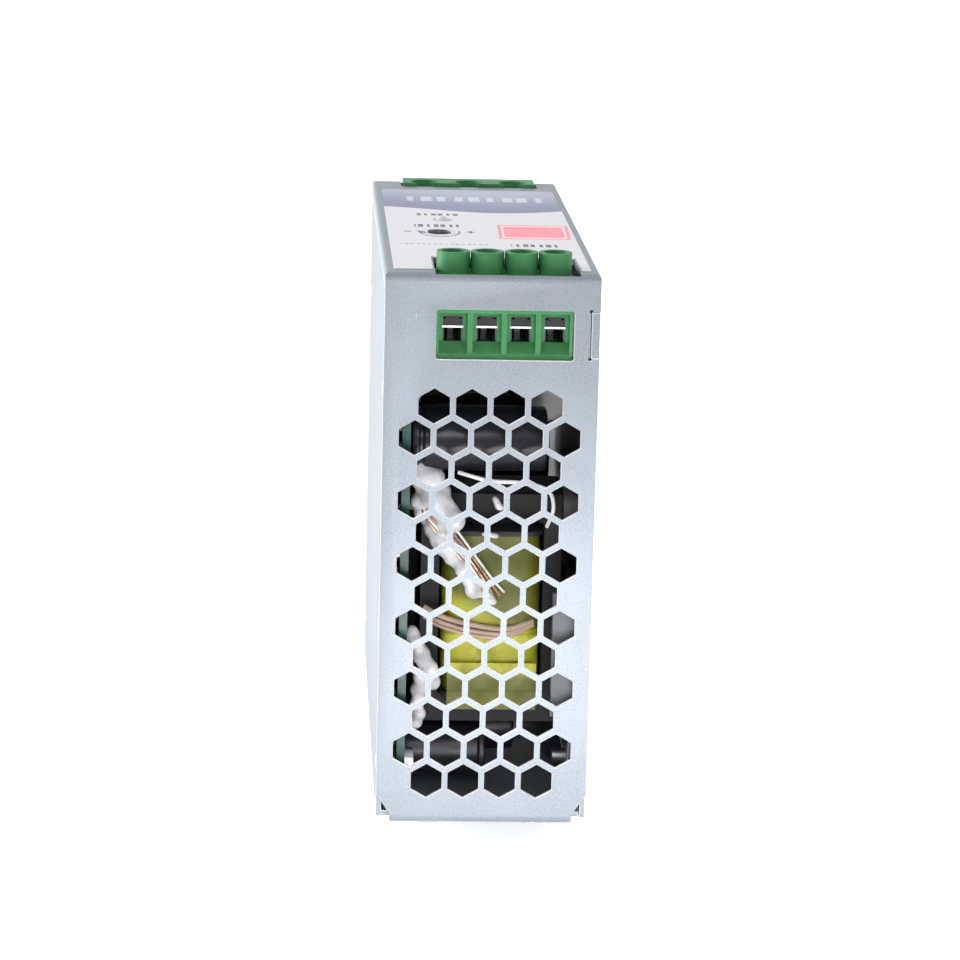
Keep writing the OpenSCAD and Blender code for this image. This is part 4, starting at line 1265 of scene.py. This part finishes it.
class SUPPLY_OT_chokes(PieceOperator, bpy.types.Operator):
    """Ring chokes and the drum choke with their turns of wire"""

    bl_idname = "supply.chokes"
    bl_label = "Chokes"

    def build(self, context):
        turns = context.scene.supply_inside.choke_turns
        rule = winding_rule()
        for kind, wire in (("choke", 0.00062), ("filter", 0.00045)):
            core_low, core_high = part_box(kind + "_core")
            low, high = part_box(kind + "_winding")
            core = mesh_from(
                kind + "_ring", lambda bm, a=core_low, b=core_high, k=kind: self.ring(bm, a, b, k))
            settle(new_object(kind + "_ring", core, ["ferrite"]), replaces=[kind + "_core"])
            outer = (core_high.z - core_low.z) / 2
            inner = outer - (0.005 if kind == "choke" else 0.004)
            piece = rule.run(kind + "_turns", {
                "Turns": turns if kind == "choke" else int(turns * 0.8),
                "Ring radius": (outer + inner) / 2, "Wire": wire,
                "Loop width": (core_high.x - core_low.x) + 2.2 * wire,
                "Loop height": outer - inner + 2.2 * wire,
                "Centre": (core_low + core_high) / 2})
            settle(piece, replaces=[kind + "_winding"])
        rounded_pieces(("output_choke", "drum_choke", 0.3, 3, "sleeve", "can_sleeve"))

    def ring(self, bm, low, high, kind):
        outer = (high.z - low.z) / 2 / MM
        inner = outer - (5 if kind == "choke" else 4)
        length = (high.x - low.x) / MM
        soft = 0.5
        profile = [(0, inner + soft), (0, outer - soft), (soft, outer), (length - soft, outer),
                   (length, outer - soft), (length, inner + soft), (length - soft, inner), (soft, inner),
                   (0, inner + soft)]
        middle = (low + high) / 2
        rings = lathe(bm, profile, (low.x, middle.y, middle.z), (1, 0, 0), 64)
        bmesh.ops.remove_doubles(bm, verts=rings[0] + rings[-1], dist=1e-7)


class SUPPLY_OT_power_parts(PieceOperator, bpy.types.Operator):
    """Fuse, rectifiers, transistors, heat sinks and relay"""

    bl_idname = "supply.power_parts"
    bl_label = "Power parts"

    def build(self, context):
        rounded_pieces(("bridge_rectifier", "bridge_body", 0.3, 3, "black", "black_plastic"),
                       ("primary_heatsink", "primary_sink", 0.2, 3, "plate", "plate_grey"),
                       ("primary_transistors", "transistor_bodies", 0.3, 3, "black", "black_plastic"),
                       ("secondary_heatsink", "secondary_sink", 0.25, 3, "plate", "plate_grey"),
                       ("output_rectifiers", "rectifier_bodies", 0.3, 3, "black", "black_plastic"),
                       ("alarm_relay", "relay_box", 0.5, 3, "white", "white_plastic"))
        low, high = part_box("fuse")
        length = (high.z - low.z) / MM
        radius = (high.x - low.x) / 2 / MM
        cap = 5.2
        profile = [(0, 0), (0, radius - 0.3), (0.3, radius), (cap, radius), (cap, radius - 0.2),
                   (length - cap, radius - 0.2), (length - cap, radius), (length - 0.3, radius),
                   (length, radius - 0.3), (length, 0)]
        looks = [0, 0, 0, 0, 1, 0, 0, 0, 0]
        foot = ((low.x + high.x) / 2, (low.y + high.y) / 2, low.z)
        mesh = mesh_from("fuse_tube", lambda bm: lathe(bm, profile, foot, (0, 0, 1), 32, looks))
        settle(new_object("fuse_tube", mesh, ["nickel", "glass"]), replaces=["fuse"])


class SUPPLY_OT_controls(PieceOperator, bpy.types.Operator):
    """Adjustment trimmer and status light"""

    bl_idname = "supply.controls"
    bl_label = "Controls"

    def build(self, context):
        rounded_pieces(("trimmer_body", "trimmer_case", 0.15, 2, "blue", "blue_plastic"))
        settle(rounded_copy("trimmer_screw", "trimmer_rotor", 0.1 * MM, ["black"]),
               "trimmer_rotor", ["trimmer_rotor"])
        rounded_pieces(("status_light", "status_lens", 0.15, 3, "lens", "lens"))


class SUPPLY_OT_rail_clip(PieceOperator, bpy.types.Operator):
    """Rail bracket, sliding latch and its spring"""

    bl_idname = "supply.rail_clip"
    bl_label = "Rail clip"

    def build(self, context):
        rounded_pieces(("rail_bracket", "clip_bracket", 0.25, 3, "cast", "bracket_metal"),
                       ("bracket_screws", "clip_screws", 0.1, 2, "steel", "steel"))
        settle(rounded_copy("latch_plate", "rail_latch", 0.2 * MM, ["latch"]),
               "rail_latch", ["rail_latch"])
        low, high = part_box("latch_spring")
        wire = 0.25 * MM
        turns = 6
        spring = coil_rule().run("latch_coil", {
            "Turns": float(turns), "Radius": (high.x - low.x) / 2 - wire, "Wire": wire,
            "Length": high.y - low.y - 2.4 * wire,
            "Start": ((low.x + high.x) / 2, low.y + 1.2 * wire, (low.z + high.z) / 2)})
        smooth_by_angle(spring.data)
        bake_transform(spring)
        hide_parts("latch_spring")


class SUPPLY_OT_stage(PieceOperator, bpy.types.Operator):
    """Camera, pale floor and soft lights"""

    bl_idname = "supply.stage"
    bl_label = "Stage"

    def build(self, context):
        look = context.scene.supply_stage
        scene = context.scene
        ahead = Vector((math.sin(look.heading) * math.cos(look.dip),
                        math.cos(look.heading) * math.cos(look.dip), -math.sin(look.dip)))
        level = ahead.cross(Vector((0, 0, 1))).normalized()
        upright = level.cross(ahead)
        right = level * math.cos(look.roll) + upright * math.sin(look.roll)
        up = right.cross(ahead)
        camera_data = bpy.data.cameras.new("camera")
        camera_data.lens = look.lens
        camera_data.sensor_width = 36
        camera_data.clip_end = 20
        camera = bpy.data.objects.new("camera", camera_data)
        turn = Matrix((right, up, -ahead)).transposed().to_4x4()
        camera.matrix_world = Matrix.Translation(look.camera_place) @ turn
        scene.collection.objects.link(camera)
        scene.camera = camera

        floor = self.square("pale_floor", 6, "floor")
        floor.location.z = -0.2 * MM

        card = self.square("dark_card", 1, "card")
        card.matrix_world = Matrix.Translation((0, -1.15, 0.85)) @ Matrix.Rotation(math.pi / 2, 4, "X")
        self.light(scene, "overhead", (0.0, 0.05, 0.85), (0, 0, 0.06), 0.9, 0.3)
        self.light(scene, "low_strip", (0.008, -0.160, 0.003), (0, -0.0626, 0.006), 0.08, 0.165)
        self.light(scene, "beside_camera", (0.03, -0.85, 0.42), (0, -0.06, 0.06), 0.25, 1.75)
        self.light(scene, "left", (-0.7, 0.10, 0.14), (0, 0, 0.06), 0.5, 7.0)

        world = bpy.data.worlds.new("white_room")
        world.use_nodes = True
        world.node_tree.nodes["Background"].inputs["Color"].default_value = (1.0, 1.0, 1.0, 1)
        world.node_tree.nodes["Background"].inputs["Strength"].default_value = 1.0
        scene.world = world
        scene.view_settings.view_transform = "Standard"

    def square(self, name, half, look):
        def build(bm):
            bmesh.ops.create_grid(bm, x_segments=1, y_segments=1, size=half)

        return new_object(name, mesh_from(name, build), [look])

    def light(self, scene, name, place, target, size, power):
        data = bpy.data.lights.new(name, "AREA")
        data.size = size
        data.energy = power
        lamp = bpy.data.objects.new(name, data)
        lamp.location = place
        lamp.rotation_euler = (Vector(target) - Vector(place)).to_track_quat("-Z", "Y").to_euler()
        scene.collection.objects.link(lamp)


class SUPPLY_PT_panel(bpy.types.Panel):
    """Buttons and settings of the power supply"""

    bl_idname = "SUPPLY_PT_panel"
    bl_label = "Rail power supply"
    bl_space_type = "VIEW_3D"
    bl_region_type = "UI"
    bl_category = "Supply"

    def draw(self, context):
        for piece in PIECES:
            self.layout.operator(piece.bl_idname)
        for group, kind in GROUPS.items():
            box = self.layout.box()
            box.label(text=group.replace("_", " ").capitalize())
            for setting in kind.__annotations__:
                box.prop(getattr(context.scene, group), setting)


PIECES = (
    SUPPLY_OT_case, SUPPLY_OT_label, SUPPLY_OT_terminals, SUPPLY_OT_boards, SUPPLY_OT_transformer,
    SUPPLY_OT_capacitors, SUPPLY_OT_chokes, SUPPLY_OT_power_parts, SUPPLY_OT_controls, SUPPLY_OT_rail_clip,
    SUPPLY_OT_stage,
)
CLASSES = (*GROUPS.values(), *PIECES, SUPPLY_PT_panel)


def register():
    for each in CLASSES:
        bpy.utils.register_class(each)
    for group, kind in GROUPS.items():
        setattr(bpy.types.Scene, group, bpy.props.PointerProperty(type=kind))


def unregister():
    for group in GROUPS:
        delattr(bpy.types.Scene, group)
    for each in reversed(CLASSES):
        bpy.utils.unregister_class(each)


def main():
    register()
    for piece in PIECES:
        group, name = piece.bl_idname.split(".")
        getattr(getattr(bpy.ops, group), name)()
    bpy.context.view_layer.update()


if __name__ == "__main__":
    main()
